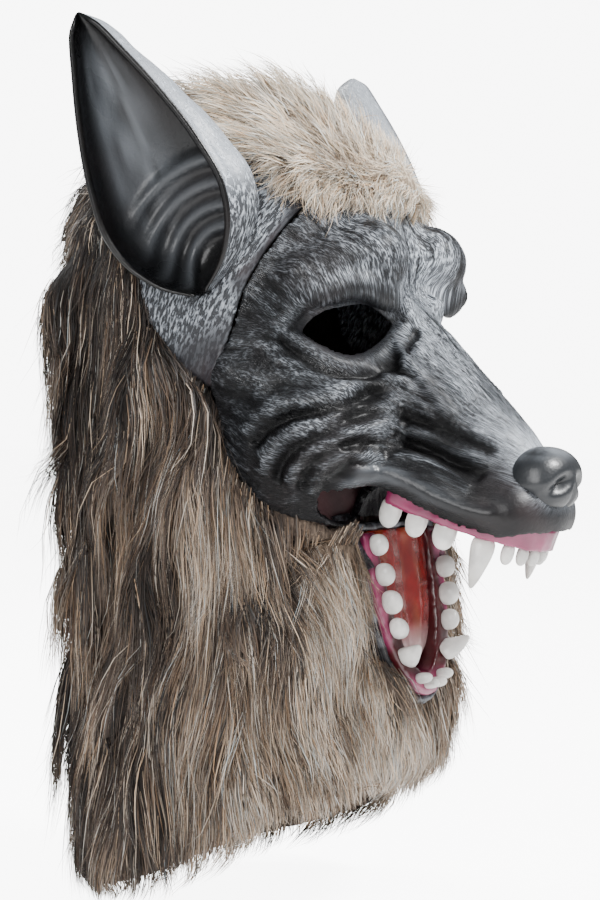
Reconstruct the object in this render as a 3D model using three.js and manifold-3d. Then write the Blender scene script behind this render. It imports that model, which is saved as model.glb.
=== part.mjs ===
// A full-head wolf mask: a moulded latex face with glued-on ear cups, an open mouth with gums,
// teeth and tongue, and a fabric hood that carries long fur over the crown, neck and chin.
// Millimetres, +Z up, the face looks along -Y. The origin is the inside of the crown, where the
// wearer's head bears. Tables hold shares of the named sizes, a row for each form or section.
import * as THREE from "three";
import Module from "manifold-3d";

const wasm = await Module();
wasm.setup();

// Driving sizes of the head form
const HEAD_HALF_WIDTH = 92;
const HEAD_HALF_DEPTH = 103;
const CRANIUM_HALF_HEIGHT = 90;
const HEAD_HEIGHT = 225; // crown to the wearer's chin
const SNOUT_REACH = 180; // origin to the tip of the nose
const HEM_DROP = 412; // crown to the hem at the back
const SIDE_HEM_DROP = 378; // crown to the hem at the sides
const FRONT_HEM_DROP = 322; // crown to the hem under the chin

// Walls and clearances
const LATEX_WALL = 2.6;
const CLOTH_WALL = 2.6;
const GAP = 0.35; // between pieces that are glued together
const SEAM_GAP = 0.5; // between pieces that butt at a seam
const FORM_BLEND = 24; // how softly the large forms run together
const RIDGE_BLEND = 9; // how softly brows, lips and neck join them

// Ears
const EAR_LENGTH = 147; // foot of the opening to the tip
const EAR_HALF_WIDTH = 33;
const EAR_DEPTH = 30;
const EAR_WALL = 3;
const EAR_FOOT_X = 95;
const EAR_FOOT_Y = -27;
const EAR_FOOT_Z = -0.4267 * HEAD_HEIGHT;
const EAR_LEAN_OUT = 13; // degrees from upright, seen from the front
const EAR_LEAN_BACK = 20.5; // degrees from upright, seen from the side
const EAR_TURN = 75; // degrees from straight ahead that the opening faces

// Eyes
const EYE_X = 42;
const EYE_Z = -0.4978 * HEAD_HEIGHT;
const EYE_WIDTH = 50;
const EYE_HEIGHT = 28;
const EYE_TURN = 44; // degrees outwards that the eye hole faces
const EYE_TILT = 5; // degrees that the outer corner sits above the inner

// Mouth
const PALATE_REAR_Y = -0.5278 * SNOUT_REACH;
const PALATE_REAR_Z = -0.8222 * HEAD_HEIGHT;
const PALATE_SLOPE = 18.8; // degrees down towards the nose
const UPPER_ARCH_HALF_WIDTH = 34;
const UPPER_ARCH_LENGTH = 73;
const LOWER_ARCH_HALF_WIDTH = 31;
const LOWER_ARCH_LENGTH = 84;
const ARCH_POWER = 2.6; // 2 is an ellipse, more is squarer
const GUM_WIDTH = 9;
const LOWER_GUM_WIDTH = 11;
const GUM_HEIGHT = 11;
const GUM_ABOVE_RIM = 3;
const JAW_HINGE_Y = -0.4389 * SNOUT_REACH;
const JAW_HINGE_Z = -0.9244 * HEAD_HEIGHT;
const JAW_TILT = 11.6; // degrees forward from hanging straight down
const JAW_WALL = 3.5;
const JAW_DEPTH = 28;
const THROAT_HEIGHT = 28; // that the hood leaves open above the jaw
const THROAT_HALF_WIDTH = 60;
const THROAT_RUN = 24; // behind the rear of the palate to the back of the mouth
const TONGUE_HALF_WIDTH = 23;
const TONGUE_SHARE = 0.8; // of the lower arch's length
const TONGUE_RISE = 2; // above the rim of the jaw
const TONGUE_CROWN = 3; // that the middle stands above the edges
const TONGUE_FURROW = 2.5;
const TONGUE_DIP = 4; // of the tip below the root

// Nose pad
const NOSE_HALF_WIDTH = 22;
const NOSE_HALF_HEIGHT = 17;
const NOSE_HALF_DEPTH = 16;
const NOSE_Z = -0.8311 * HEAD_HEIGHT;
const NOSTRIL_RADIUS = 6;

// Teeth
const TOOTH_SIDES = 7;
const MOLAR_WIDTH = 12.5;
const MOLAR_THICKNESS = 9;
const MOLAR_HEIGHT = 14;
const LOWER_MOLAR_HEIGHT = 9;
const CANINE_WIDTH = 13;
const CANINE_HEIGHT = 25;
const CANINE_LEAN_OUT = 6; // degrees
const LOWER_CANINE_HEIGHT = 16;
const LOWER_CANINE_LEAN_BACK = 30; // degrees towards the throat
const INCISOR_WIDTH = 6.5;
const INCISOR_HEIGHT = 9;

// Fur: a pile on the cloth, with locks that lift off it
const PILE = 4;
const LOCK_LENGTH = 62;
const LOCK_HALF_WIDTH = 17;
const LOCK_LIFT = 13;
const LOCK_MIDDLE = 0.42; // share of the way to the tip where a lock is widest
const LOCK_BELLY = 0.85; // share of the lift that its widest part stands up
const LOCK_SWAY = 0.07; // radians that the most bent locks lean to one side
const CREST_LOCK_HALF_WIDTH = 13;
const CREST_LOCK_TURN = 26; // degrees of the crown that a crest lock spans
const CREST_LOCK_LIFT = 17;

// How finely the surfaces are divided
const FACE_RINGS = 22;
const FACE_SPOKES = 32;
const RING_POWER = 1.8; // crowds the face's rings towards the nose
const HOOD_DOME_RINGS = 5;
const HOOD_NECK_RINGS = 8;
const HOOD_SPOKES = 24;
const ARCH_STEPS = 9; // along each half of a gum or of the jaw

// The head's large forms. x, rx are shares of HEAD_HALF_WIDTH, y, ry of HEAD_HALF_DEPTH,
// z, rz of HEAD_HEIGHT.
const CHEEK = { x: 0.54, y: -0.5, z: -0.755, rx: 0.39, ry: 0.43, rz: 0.225 };
const SOCKET = { x: 0.48, y: -0.89, z: -0.5, rx: 0.27, ry: 0.15, rz: 0.075 };
const FRONT_LIP = { x: 0, y: -1.53, z: -0.905, rx: 0.26, ry: 0.16, rz: 0.072 };
const CRANIUM = { y: 0.07, ry: 0.91 }; // as wide as the head, its crown at the origin

// Bars run from one ball to another. x is a share of HEAD_HALF_WIDTH, reach of SNOUT_REACH,
// z of HEAD_HEIGHT and r of HEAD_HALF_WIDTH.
const MUZZLE = {
  from: { x: 0, reach: 0.464, z: -0.653, r: 0.424 },
  to: { x: 0, reach: 0.829, z: -0.845, r: 0.245 },
};
const RIDGES = {
  flews: {
    from: { x: 0.36, reach: 0.524, z: -0.822, r: 0.174 },
    to: { x: 0.215, reach: 0.85, z: -0.898, r: 0.163 },
  },
  bridge: {
    from: { x: 0, reach: 0.478, z: -0.493, r: 0.13 },
    to: { x: 0, reach: 0.785, z: -0.756, r: 0.14 },
  },
  brow: {
    from: { x: 0.32, reach: 0.455, z: -0.345, r: 0.205 },
    to: { x: 0.7, reach: 0.36, z: -0.385, r: 0.1 },
  },
  cheekbone: {
    from: { x: 0.3, reach: 0.5, z: -0.62, r: 0.11 },
    to: { x: 0.86, reach: 0.2, z: -0.6, r: 0.1 },
  },
};

// The neck below the cranium, a row for each level. z is a share of HEM_DROP, width of
// HEAD_HALF_WIDTH, back and front of HEAD_HALF_DEPTH.
const NECK_LEVELS = [
  { z: -0.24, width: 0.95, back: 0.96, front: 0.7 },
  { z: -0.44, width: 0.95, back: 0.96, front: 0.7 },
  { z: -0.53, width: 0.93, back: 0.95, front: 0.75 },
  { z: -0.62, width: 0.92, back: 0.93, front: 0.82 },
  { z: -0.71, width: 0.93, back: 0.9, front: 0.87 },
  { z: -0.78, width: 0.95, back: 0.88, front: 0.82 },
  { z: -0.85, width: 0.97, back: 0.86, front: 0.7 },
  { z: -1.1, width: 1.0, back: 0.8, front: 0.66 },
];

// Seams seen from the side. y is a share of HEAD_HALF_DEPTH behind the origin and of
// SNOUT_REACH in front of it, z of HEAD_HEIGHT.
const LIP_LINE = [
  { y: -0.44, z: -0.92 },
  { y: -0.42, z: -0.888 },
  { y: -0.435, z: -0.853 },
  { y: -0.48, z: -0.838 },
  { y: -0.54, z: -0.838 },
  { y: -0.6, z: -0.857 },
  { y: -0.695, z: -0.896 },
  { y: -0.78, z: -0.922 },
  { y: -0.86, z: -0.932 },
  { y: -1.15, z: -0.93 },
];
const FACE_SEAM = [
  { y: -1.15, z: -0.222 },
  { y: -0.337, z: -0.222 },
  { y: -0.225, z: -0.42 },
  { y: -0.139, z: -0.631 },
];
const CHEEK_SEAM = [
  { y: -0.185, z: -0.78 },
  { y: -0.28, z: -0.875 },
];
const PANEL_REAR = [
  { y: -0.07, z: -0.6 },
  { y: 0.07, z: -0.49 },
  { y: 0.17, z: -0.33 },
  { y: 0.22, z: -0.17 },
  { y: 0.06, z: -0.1 },
  { y: -0.2, z: -0.12 },
];

// Where the fur is pieced together, seen from the side. y is a share of HEAD_HALF_DEPTH,
// z of HEM_DROP.
const CREST_PIECE = [
  { y: -2, z: -0.15 },
  { y: 0.26, z: -0.15 },
  { y: 0.26, z: 0.5 },
  { y: -2, z: 0.5 },
];
const BEARD_PIECE = [
  { y: -2, z: -0.525 },
  { y: -0.53, z: -0.525 },
  { y: -0.38, z: -0.6 },
  { y: -0.38, z: -1.5 },
  { y: -2, z: -1.5 },
];

// The ear from foot to tip. width and flare are shares of EAR_HALF_WIDTH, depth of EAR_DEPTH.
// flare is how far the front flank swells forward on its way down to the head.
const EAR_SECTIONS = [
  { along: 0.0, width: 0.12, depth: 0.3, flare: 0.05 },
  { along: 0.05, width: 0.44, depth: 0.7, flare: 0.2 },
  { along: 0.14, width: 0.78, depth: 1.0, flare: 0.42 },
  { along: 0.28, width: 1.0, depth: 1.0, flare: 0.5 },
  { along: 0.46, width: 0.93, depth: 0.93, flare: 0.4 },
  { along: 0.64, width: 0.73, depth: 0.8, flare: 0.27 },
  { along: 0.82, width: 0.45, depth: 0.6, flare: 0.15 },
  { along: 0.95, width: 0.22, depth: 0.38, flare: 0.06 },
  { along: 1.0, width: 0.1, depth: 0.18, flare: 0.02 },
];

// Teeth of one side. along is the share of the arch from the rear to the middle of the front.
const UPPER_TEETH = [
  { name: "molar_rear", along: 0.08, kind: "molar", size: 1.0 },
  { name: "molar_mid", along: 0.25, kind: "molar", size: 0.96 },
  { name: "molar_front", along: 0.43, kind: "molar", size: 1.02 },
  { name: "canine", along: 0.64, kind: "canine", size: 1.0 },
  { name: "incisor_outer", along: 0.78, kind: "incisor", size: 1.1 },
  { name: "incisor_mid", along: 0.87, kind: "incisor", size: 1.0 },
  { name: "incisor_inner", along: 0.955, kind: "incisor", size: 0.95 },
];
const LOWER_TEETH = [
  { name: "molar_rear", along: 0.12, kind: "low_molar", size: 0.95 },
  { name: "molar_mid", along: 0.27, kind: "low_molar", size: 1.0 },
  { name: "molar_front", along: 0.42, kind: "low_molar", size: 1.05 },
  { name: "premolar", along: 0.56, kind: "low_molar", size: 0.95 },
  { name: "canine", along: 0.74, kind: "low_canine", size: 1.0 },
  { name: "incisor_outer", along: 0.88, kind: "incisor", size: 0.95 },
  { name: "incisor_inner", along: 0.96, kind: "incisor", size: 0.9 },
];

// A tooth's girth from the gum to its tip, as shares of its base. lean moves a section's centre
// outwards by a share of the height.
const MOLAR_PROFILE = [
  { up: 0, girth: 0.8, lean: 0 },
  { up: 0.3, girth: 1.0, lean: 0.02 },
  { up: 0.74, girth: 0.9, lean: 0.03 },
  { up: 0.96, girth: 0.45, lean: 0.02 },
];
const CANINE_PROFILE = [
  { up: 0, girth: 0.86, lean: 0 },
  { up: 0.2, girth: 1.0, lean: 0.06 },
  { up: 0.55, girth: 0.7, lean: 0.15 },
  { up: 0.88, girth: 0.3, lean: 0.14 },
];

// Locks of fur in rows round the hood. z is a share of HEM_DROP, count is how many go round,
// lift a share of LOCK_LIFT and length of LOCK_LENGTH.
const LOCK_ROWS = [
  { z: -0.05, count: 7, lift: 1.1, length: 0.85 },
  { z: -0.16, count: 10, lift: 1.3, length: 0.95 },
  { z: -0.27, count: 12, lift: 1.3, length: 1.0 },
  { z: -0.39, count: 12, lift: 1.2, length: 1.05 },
  { z: -0.51, count: 12, lift: 1.1, length: 1.05 },
  { z: -0.63, count: 12, lift: 1.0, length: 1.05 },
  { z: -0.74, count: 12, lift: 0.8, length: 1.0 },
  { z: -0.83, count: 12, lift: 0.5, length: 0.95 },
];

// Rows of the crest. pitch is degrees up and back from straight ahead, spread the degrees to
// the outermost lock on each side, lift a share of CREST_LOCK_LIFT.
const CREST_ROWS = [
  { pitch: 30, count: 4, spread: 20, lift: 0.12 },
  { pitch: 48, count: 5, spread: 25, lift: 0.4 },
  { pitch: 66, count: 5, spread: 27, lift: 0.85 },
  { pitch: 84, count: 4, spread: 24, lift: 1.0 },
  { pitch: 106, count: 5, spread: 32, lift: 0.9 },
];

const radians = THREE.MathUtils.degToRad;
const vec = (x, y, z) => new THREE.Vector3(x, y, z);
const LATERAL = vec(1, 0, 0);
const FAR = 2 * (SNOUT_REACH + HEM_DROP); // longer than the mask in any direction

// Signed distances to the forms, negative inside
function smoothUnion(a, b, blend) {
  const near = Math.max(blend - Math.abs(a - b), 0) / blend;
  return Math.min(a, b) - (near * near * blend) / 4;
}

function smoothCut(a, b, blend) {
  return -smoothUnion(-a, b, blend);
}

function ballDistance(p, centre, radii) {
  const q = p.clone().sub(centre);
  const scaled = q.clone().divide(radii).length();
  const slope = q.divide(radii).divide(radii).length();
  return slope < 1e-9 ? -Math.min(radii.x, radii.y, radii.z) : (scaled * (scaled - 1)) / slope;
}

function barDistance(p, from, to, fromRadius, toRadius) {
  const axis = to.clone().sub(from);
  const share = THREE.MathUtils.clamp(p.clone().sub(from).dot(axis) / axis.lengthSq(), 0, 1);
  const nearest = from.clone().addScaledVector(axis, share);
  return p.distanceTo(nearest) - THREE.MathUtils.lerp(fromRadius, toRadius, share);
}

const ballCentre = (row) =>
  vec(row.x * HEAD_HALF_WIDTH, row.y * HEAD_HALF_DEPTH, row.z * HEAD_HEIGHT);
const ballRadii = (row) =>
  vec(row.rx * HEAD_HALF_WIDTH, row.ry * HEAD_HALF_DEPTH, row.rz * HEAD_HEIGHT);
const barEnd = (row) => vec(row.x * HEAD_HALF_WIDTH, -row.reach * SNOUT_REACH, row.z * HEAD_HEIGHT);

function ball(p, row) {
  return ballDistance(p, ballCentre(row), ballRadii(row));
}

function bar(p, row) {
  const width = HEAD_HALF_WIDTH;
  return barDistance(p, barEnd(row.from), barEnd(row.to), row.from.r * width, row.to.r * width);
}

const CRANIUM_CENTRE = vec(0, CRANIUM.y * HEAD_HALF_DEPTH, CLOTH_WALL - CRANIUM_HALF_HEIGHT);
const CRANIUM_RADII = vec(HEAD_HALF_WIDTH, CRANIUM.ry * HEAD_HALF_DEPTH, CRANIUM_HALF_HEIGHT);

function neckLevel(z) {
  const share = z / HEM_DROP;
  const below = NECK_LEVELS.findIndex((row) => row.z < share);
  if (below === 0) return NECK_LEVELS[0];
  if (below < 0) return NECK_LEVELS[NECK_LEVELS.length - 1];
  const [upper, lower] = [NECK_LEVELS[below - 1], NECK_LEVELS[below]];
  const t = (share - upper.z) / (lower.z - upper.z);
  const between = (key) => THREE.MathUtils.lerp(upper[key], lower[key], t);
  return { width: between("width"), back: between("back"), front: between("front") };
}

function neck(p) {
  const level = neckLevel(p.z);
  const width = level.width * HEAD_HALF_WIDTH;
  const depth = (p.y > 0 ? level.back : level.front) * HEAD_HALF_DEPTH;
  const around = (Math.hypot(p.x / width, p.y / depth) - 1) * Math.min(width, depth);
  return Math.max(around, p.z - CRANIUM_CENTRE.z);
}

// The outside of the latex and of the cloth, the same on either side of the middle
function headForm(point) {
  const p = vec(Math.abs(point.x), point.y, point.z);
  let d = ballDistance(p, CRANIUM_CENTRE, CRANIUM_RADII);
  d = smoothUnion(d, ball(p, CHEEK), FORM_BLEND);
  d = smoothUnion(d, bar(p, MUZZLE), FORM_BLEND);
  d = smoothUnion(d, neck(p), RIDGE_BLEND);
  d = smoothUnion(d, ball(p, FRONT_LIP), RIDGE_BLEND);
  for (const ridge of Object.values(RIDGES)) d = smoothUnion(d, bar(p, ridge), RIDGE_BLEND);
  return smoothCut(d, ball(p, SOCKET), RIDGE_BLEND);
}

// Walks out from a centre along a ray to the last place where the form ends.
function surfaceAlong(centre, direction) {
  let inside = 0;
  let outside = FAR / 2;
  for (let step = 0; step < 30; step++) {
    const middle = (inside + outside) / 2;
    if (headForm(centre.clone().addScaledVector(direction, middle)) < 0) inside = middle;
    else outside = middle;
  }
  return centre.clone().addScaledVector(direction, inside);
}

function outwards(p) {
  const reach = 0.5;
  const slope = (x, y, z) =>
    headForm(vec(p.x + x, p.y + y, p.z + z)) - headForm(vec(p.x - x, p.y - y, p.z - z));
  return vec(slope(reach, 0, 0), slope(0, reach, 0), slope(0, 0, reach)).normalize();
}

// Closed solids from rings of points. A ring of one point is a pole, an open end gets a flat cap.
function ringsToSolid(rings) {
  const points = [];
  const starts = rings.map((ring) => {
    points.push(...ring);
    return points.length - ring.length;
  });
  const faces = [];
  for (let i = 0; i + 1 < rings.length; i++) {
    const [a, b] = [rings[i].length, rings[i + 1].length];
    for (let j = 0; j < Math.max(a, b); j++) {
      const next = (j + 1) % Math.max(a, b);
      const [p, q] = [starts[i] + (j % a), starts[i] + (next % a)];
      const [r, s] = [starts[i + 1] + (j % b), starts[i + 1] + (next % b)];
      if (a > 1) faces.push([p, q, r]);
      if (b > 1) faces.push([q, s, r]);
    }
  }
  for (const end of [0, rings.length - 1]) {
    const ring = rings[end];
    if (ring.length === 1) continue;
    const centre = ring.reduce((sum, p) => sum.add(p), vec(0, 0, 0)).divideScalar(ring.length);
    points.push(centre);
    for (let j = 0; j < ring.length; j++) {
      const pair = [starts[end] + j, starts[end] + ((j + 1) % ring.length)];
      faces.push([points.length - 1, ...(end === 0 ? pair.reverse() : pair)]);
    }
  }
  return facesToSolid(points, faces);
}

function facesToSolid(points, faces) {
  const made = (list) =>
    new wasm.Manifold(
      new wasm.Mesh({
        numProp: 3,
        vertProperties: new Float32Array(points.flatMap((p) => [p.x, p.y, p.z])),
        triVerts: new Uint32Array(list.flat()),
      }),
    );
  const solid = made(faces);
  return solid.volume() < 0 ? made(faces.map((face) => face.slice().reverse())) : solid;
}

function geometryToSolid(geometry) {
  const flat = geometry.index ? geometry.toNonIndexed() : geometry;
  const position = flat.getAttribute("position");
  const known = new Map();
  const points = [];
  const faces = [];
  for (let i = 0; i < position.count; i++) {
    const p = vec().fromBufferAttribute(position, i);
    const key = p.toArray().map((c) => c.toFixed(3)).join();
    if (!known.has(key)) known.set(key, points.push(p) - 1);
    if (i % 3 === 0) faces.push([]);
    faces[faces.length - 1].push(known.get(key));
  }
  return facesToSolid(points, faces.filter((face) => new Set(face).size === 3));
}

function solidToGeometry(solid) {
  const { vertProperties, triVerts, numProp } = solid.getMesh();
  const count = vertProperties.length / numProp;
  const position = new Float32Array(count * 3);
  for (let i = 0; i < count; i++) {
    position.set(vertProperties.subarray(i * numProp, i * numProp + 3), i * 3);
  }
  const geometry = new THREE.BufferGeometry();
  geometry.setAttribute("position", new THREE.BufferAttribute(position, 3));
  geometry.setIndex(new THREE.BufferAttribute(triVerts, 1));
  return geometry;
}

function largestBody(solid) {
  return solid.decompose().reduce((best, one) => (one.volume() > best.volume() ? one : best));
}

// A prism of a flat outline whose x and y are carried to two directions, both ways along a third
function prism(outline, xAxis, yAxis, origin, low, high) {
  const shape = new THREE.Shape(outline.map(([x, y]) => new THREE.Vector2(x, y)));
  const geometry = new THREE.ExtrudeGeometry(shape, { depth: high - low, bevelEnabled: false });
  geometry.translate(0, 0, low);
  const frame = new THREE.Matrix4().makeBasis(xAxis, yAxis, xAxis.clone().cross(yAxis));
  geometry.applyMatrix4(frame.setPosition(origin));
  return geometryToSolid(geometry);
}

const sidePrism = (outline, low = -FAR / 2, high = FAR / 2) =>
  prism(outline, vec(0, 1, 0), vec(0, 0, 1), vec(0, 0, 0), low, high);

const seamPoint = (row) => [
  row.y * (row.y < 0 ? SNOUT_REACH : HEAD_HALF_DEPTH),
  row.z * HEAD_HEIGHT,
];

// Moves every side of a closed outline outwards by the same distance.
function grownOutline(outline, distance) {
  const turn = THREE.ShapeUtils.area(outline.map(([x, y]) => new THREE.Vector2(x, y))) > 0 ? 1 : -1;
  return outline.map((point, i) => {
    const before = outline[(i + outline.length - 1) % outline.length];
    const after = outline[(i + 1) % outline.length];
    const side = (a, b) => {
      const length = Math.hypot(b[0] - a[0], b[1] - a[1]);
      return [((b[1] - a[1]) / length) * turn, (-(b[0] - a[0]) / length) * turn];
    };
    const [m, n] = [side(before, point), side(point, after)];
    const scale = distance / Math.max(1 + m[0] * n[0] + m[1] * n[1], 0.3);
    return [point[0] + (m[0] + n[0]) * scale, point[1] + (m[1] + n[1]) * scale];
  });
}

const FACE_OUTLINE = [...LIP_LINE, ...FACE_SEAM, ...CHEEK_SEAM].map(seamPoint);
const PANEL_OUTLINE = [...FACE_SEAM.slice(1), ...PANEL_REAR].map(seamPoint);
const LATEX_OUTLINE = [...LIP_LINE, ...FACE_SEAM.slice(0, 2), ...PANEL_REAR.slice().reverse(),
  FACE_SEAM[3], ...CHEEK_SEAM].map(seamPoint);

// The face is sampled on rays that fan out from inside the head, crowded round the snout.
const FACE_CENTRE = vec(0, -0.1 * HEAD_HALF_DEPTH, -0.58 * HEAD_HEIGHT);
const FACE_AXIS = vec(0, -SNOUT_REACH, NOSE_Z).sub(FACE_CENTRE).normalize();

function faceSolid(offset) {
  const up = LATERAL.clone().cross(FACE_AXIS).normalize();
  const rings = [];
  for (let i = 0; i <= FACE_RINGS; i++) {
    const polar = Math.PI * (i / FACE_RINGS) ** RING_POWER;
    const isPole = i === 0 || i === FACE_RINGS;
    const ring = [];
    for (let j = 0; j < (isPole ? 1 : FACE_SPOKES); j++) {
      const turn = (2 * Math.PI * (j + 0.5)) / FACE_SPOKES;
      const direction = FACE_AXIS.clone().multiplyScalar(Math.cos(polar));
      direction.addScaledVector(LATERAL, Math.sin(polar) * Math.cos(turn));
      direction.addScaledVector(up, Math.sin(polar) * Math.sin(turn));
      const p = surfaceAlong(FACE_CENTRE, direction);
      ring.push(p.addScaledVector(outwards(p), offset));
    }
    rings.push(ring);
  }
  return ringsToSolid(rings);
}

// A point of the hood by its turn round the head, 0 at the front, and its height.
function hoodPoint(turn, z, offset) {
  const centre = vec(0, CRANIUM_CENTRE.y, Math.min(z, CRANIUM_CENTRE.z));
  const flat = vec(Math.sin(turn), -Math.cos(turn), 0);
  const rise = THREE.MathUtils.clamp((z - CRANIUM_CENTRE.z) / CRANIUM_HALF_HEIGHT, 0, 1);
  const climb = Math.asin(rise);
  const direction = flat.multiplyScalar(Math.cos(climb)).add(vec(0, 0, Math.sin(climb)));
  const p = surfaceAlong(centre, direction);
  return p.addScaledVector(outwards(p), offset);
}

function hoodSolid(offset, drop) {
  const levels = [];
  for (let i = 1; i < HOOD_DOME_RINGS; i++) {
    const climb = (Math.PI / 2) * (1 - i / HOOD_DOME_RINGS);
    levels.push(CRANIUM_CENTRE.z + CRANIUM_HALF_HEIGHT * Math.sin(climb));
  }
  for (let i = 0; i <= HOOD_NECK_RINGS; i++) {
    levels.push(THREE.MathUtils.lerp(CRANIUM_CENTRE.z, -drop, i / HOOD_NECK_RINGS));
  }
  const rings = levels.map((z) =>
    Array.from({ length: HOOD_SPOKES }, (_, j) =>
      hoodPoint((2 * Math.PI * (j + 0.5)) / HOOD_SPOKES, z, offset),
    ),
  );
  return ringsToSolid([[crownPoint(90, 0, offset)], ...rings]);
}

// A point of the crown by its pitch back from straight ahead and its roll to one side, degrees
function crownPoint(pitch, roll, offset) {
  const [p, r] = [radians(pitch), radians(roll)];
  const direction = vec(Math.sin(r), -Math.cos(r) * Math.cos(p), Math.cos(r) * Math.sin(p));
  const point = surfaceAlong(CRANIUM_CENTRE, direction);
  return point.addScaledVector(outwards(point), offset);
}

// Everything above the hem, which rises from the back to the front of the neck
function aboveHem() {
  const spans = 3; // of half a head that the hem's line is carried out to
  const reach = spans * HEAD_HALF_DEPTH;
  const front = -SIDE_HEM_DROP + spans * (SIDE_HEM_DROP - FRONT_HEM_DROP);
  const back = -SIDE_HEM_DROP - spans * (HEM_DROP - SIDE_HEM_DROP);
  return sidePrism([[-reach, FAR], [-reach, front], [0, -SIDE_HEM_DROP], [reach, back],
    [reach, FAR]]);
}

// The superellipse that gums, teeth and jaw follow. along runs from the rear, 0, to the front.
function archPoint(halfWidth, length, quarter) {
  const turn = (quarter * Math.PI) / 2;
  return [halfWidth * Math.cos(turn), length * Math.sin(turn) ** (2 / ARCH_POWER)];
}

function archOutline(halfWidth, length, steps) {
  const side = Array.from({ length: steps + 1 }, (_, i) =>
    archPoint(halfWidth, length, i / steps),
  );
  return [...side, ...side.slice(0, -1).reverse().map(([x, y]) => [-x, y])];
}

function archPlace(halfWidth, length, share) {
  const steps = 200; // fine enough to measure along
  const path = Array.from({ length: steps + 1 }, (_, i) => archPoint(halfWidth, length, i / steps));
  const lengths = [0];
  for (let i = 1; i <= steps; i++) {
    const step = Math.hypot(path[i][0] - path[i - 1][0], path[i][1] - path[i - 1][1]);
    lengths.push(lengths[i - 1] + step);
  }
  const i = Math.min(lengths.findIndex((run) => run >= share * lengths[steps]), steps - 1);
  const [a, b] = [path[Math.max(i - 1, 0)], path[i + 1]];
  return { at: path[i], heading: Math.atan2(b[1] - a[1], b[0] - a[0]) };
}

// A jaw's frame: x across, y along the jaw to its front, z out of the jaw towards the teeth
function jawFrame(origin, across, along) {
  const frame = new THREE.Matrix4().makeBasis(across, along, across.clone().cross(along));
  return frame.setPosition(origin);
}

const slope = radians(PALATE_SLOPE);
const tilt = radians(JAW_TILT);
const PALATE_FRAME = jawFrame(
  vec(0, PALATE_REAR_Y, PALATE_REAR_Z),
  vec(1, 0, 0),
  vec(0, -Math.cos(slope), -Math.sin(slope)),
);
const JAW_FRAME = jawFrame(
  vec(0, JAW_HINGE_Y, JAW_HINGE_Z),
  vec(-1, 0, 0),
  vec(0, -Math.sin(tilt), -Math.cos(tilt)),
);

const carried = (solid, frame) => solid.transform(frame.toArray());

// The gum stands on the palate or in the rim of the jaw, as a band along the arch.
function gumBand(halfWidth, length, width, low, high, start) {
  const steps = ARCH_STEPS;
  const half = width / 2;
  const outer = archOutline(halfWidth + half, length + half, steps);
  const inner = archOutline(halfWidth - half, length - half, steps);
  const outline = [...outer, ...inner.reverse()];
  const band = prism(outline, vec(1, 0, 0), vec(0, 1, 0), vec(0, 0, 0), low, high);
  const ahead = prism(
    [[-FAR, start], [FAR, start], [FAR, FAR], [-FAR, FAR]],
    vec(1, 0, 0), vec(0, 1, 0), vec(0, 0, 0), -FAR, FAR,
  );
  return band.intersect(ahead);
}

const TOOTH_KINDS = {
  molar: { width: MOLAR_WIDTH, thickness: MOLAR_THICKNESS, height: MOLAR_HEIGHT },
  low_molar: { width: MOLAR_WIDTH, thickness: MOLAR_THICKNESS, height: LOWER_MOLAR_HEIGHT },
  canine: { width: CANINE_WIDTH, thickness: GUM_WIDTH, height: CANINE_HEIGHT },
  low_canine: { width: CANINE_WIDTH, thickness: GUM_WIDTH, height: LOWER_CANINE_HEIGHT },
  incisor: { width: INCISOR_WIDTH, thickness: INCISOR_WIDTH, height: INCISOR_HEIGHT },
};

function toothSolid(kind, size) {
  const { width, thickness, height } = TOOTH_KINDS[kind];
  const profile = kind.includes("canine") ? CANINE_PROFILE : MOLAR_PROFILE;
  const rings = profile.map((row) =>
    Array.from({ length: TOOTH_SIDES }, (_, j) => {
      const turn = (2 * Math.PI * j) / TOOTH_SIDES;
      return vec(
        (Math.cos(turn) * row.girth * width * size) / 2,
        (Math.sin(turn) * row.girth * thickness * size) / 2 - row.lean * height * size,
        row.up * height * size,
      );
    }),
  );
  const tip = profile[profile.length - 1];
  rings.push([vec(0, -tip.lean * height * size, height * size)]);
  return ringsToSolid(rings);
}

function teeth(rows, prefix, halfWidth, length, crest, frame, sideNames) {
  const made = [];
  for (const row of rows) {
    const { at, heading } = archPlace(halfWidth, length, row.along);
    const leanOut = row.kind === "canine" ? CANINE_LEAN_OUT : 0;
    const leanBack = row.kind === "low_canine" ? LOWER_CANINE_LEAN_BACK : 0;
    for (const side of [1, -1]) {
      const local = new THREE.Matrix4().makeTranslation(at[0], at[1], crest + GAP);
      local.multiply(new THREE.Matrix4().makeRotationZ(heading));
      local.multiply(new THREE.Matrix4().makeRotationX(radians(leanOut)));
      local.multiply(new THREE.Matrix4().makeRotationY(-radians(leanBack)));
      if (side < 0) local.premultiply(new THREE.Matrix4().makeScale(-1, 1, 1));
      let solid = carried(toothSolid(row.kind, row.size), local);
      solid = carried(solid.intersect(aboveCrest(crest + GAP)), frame);
      made.push([`${prefix}_${row.name}_${side > 0 ? sideNames[0] : sideNames[1]}`, solid]);
    }
  }
  return made;
}

function aboveCrest(level) {
  const square = [[-FAR, -FAR], [FAR, -FAR], [FAR, FAR], [-FAR, FAR]];
  return prism(square, vec(1, 0, 0), vec(0, 1, 0), vec(0, 0, 0), level, level + FAR);
}

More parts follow.
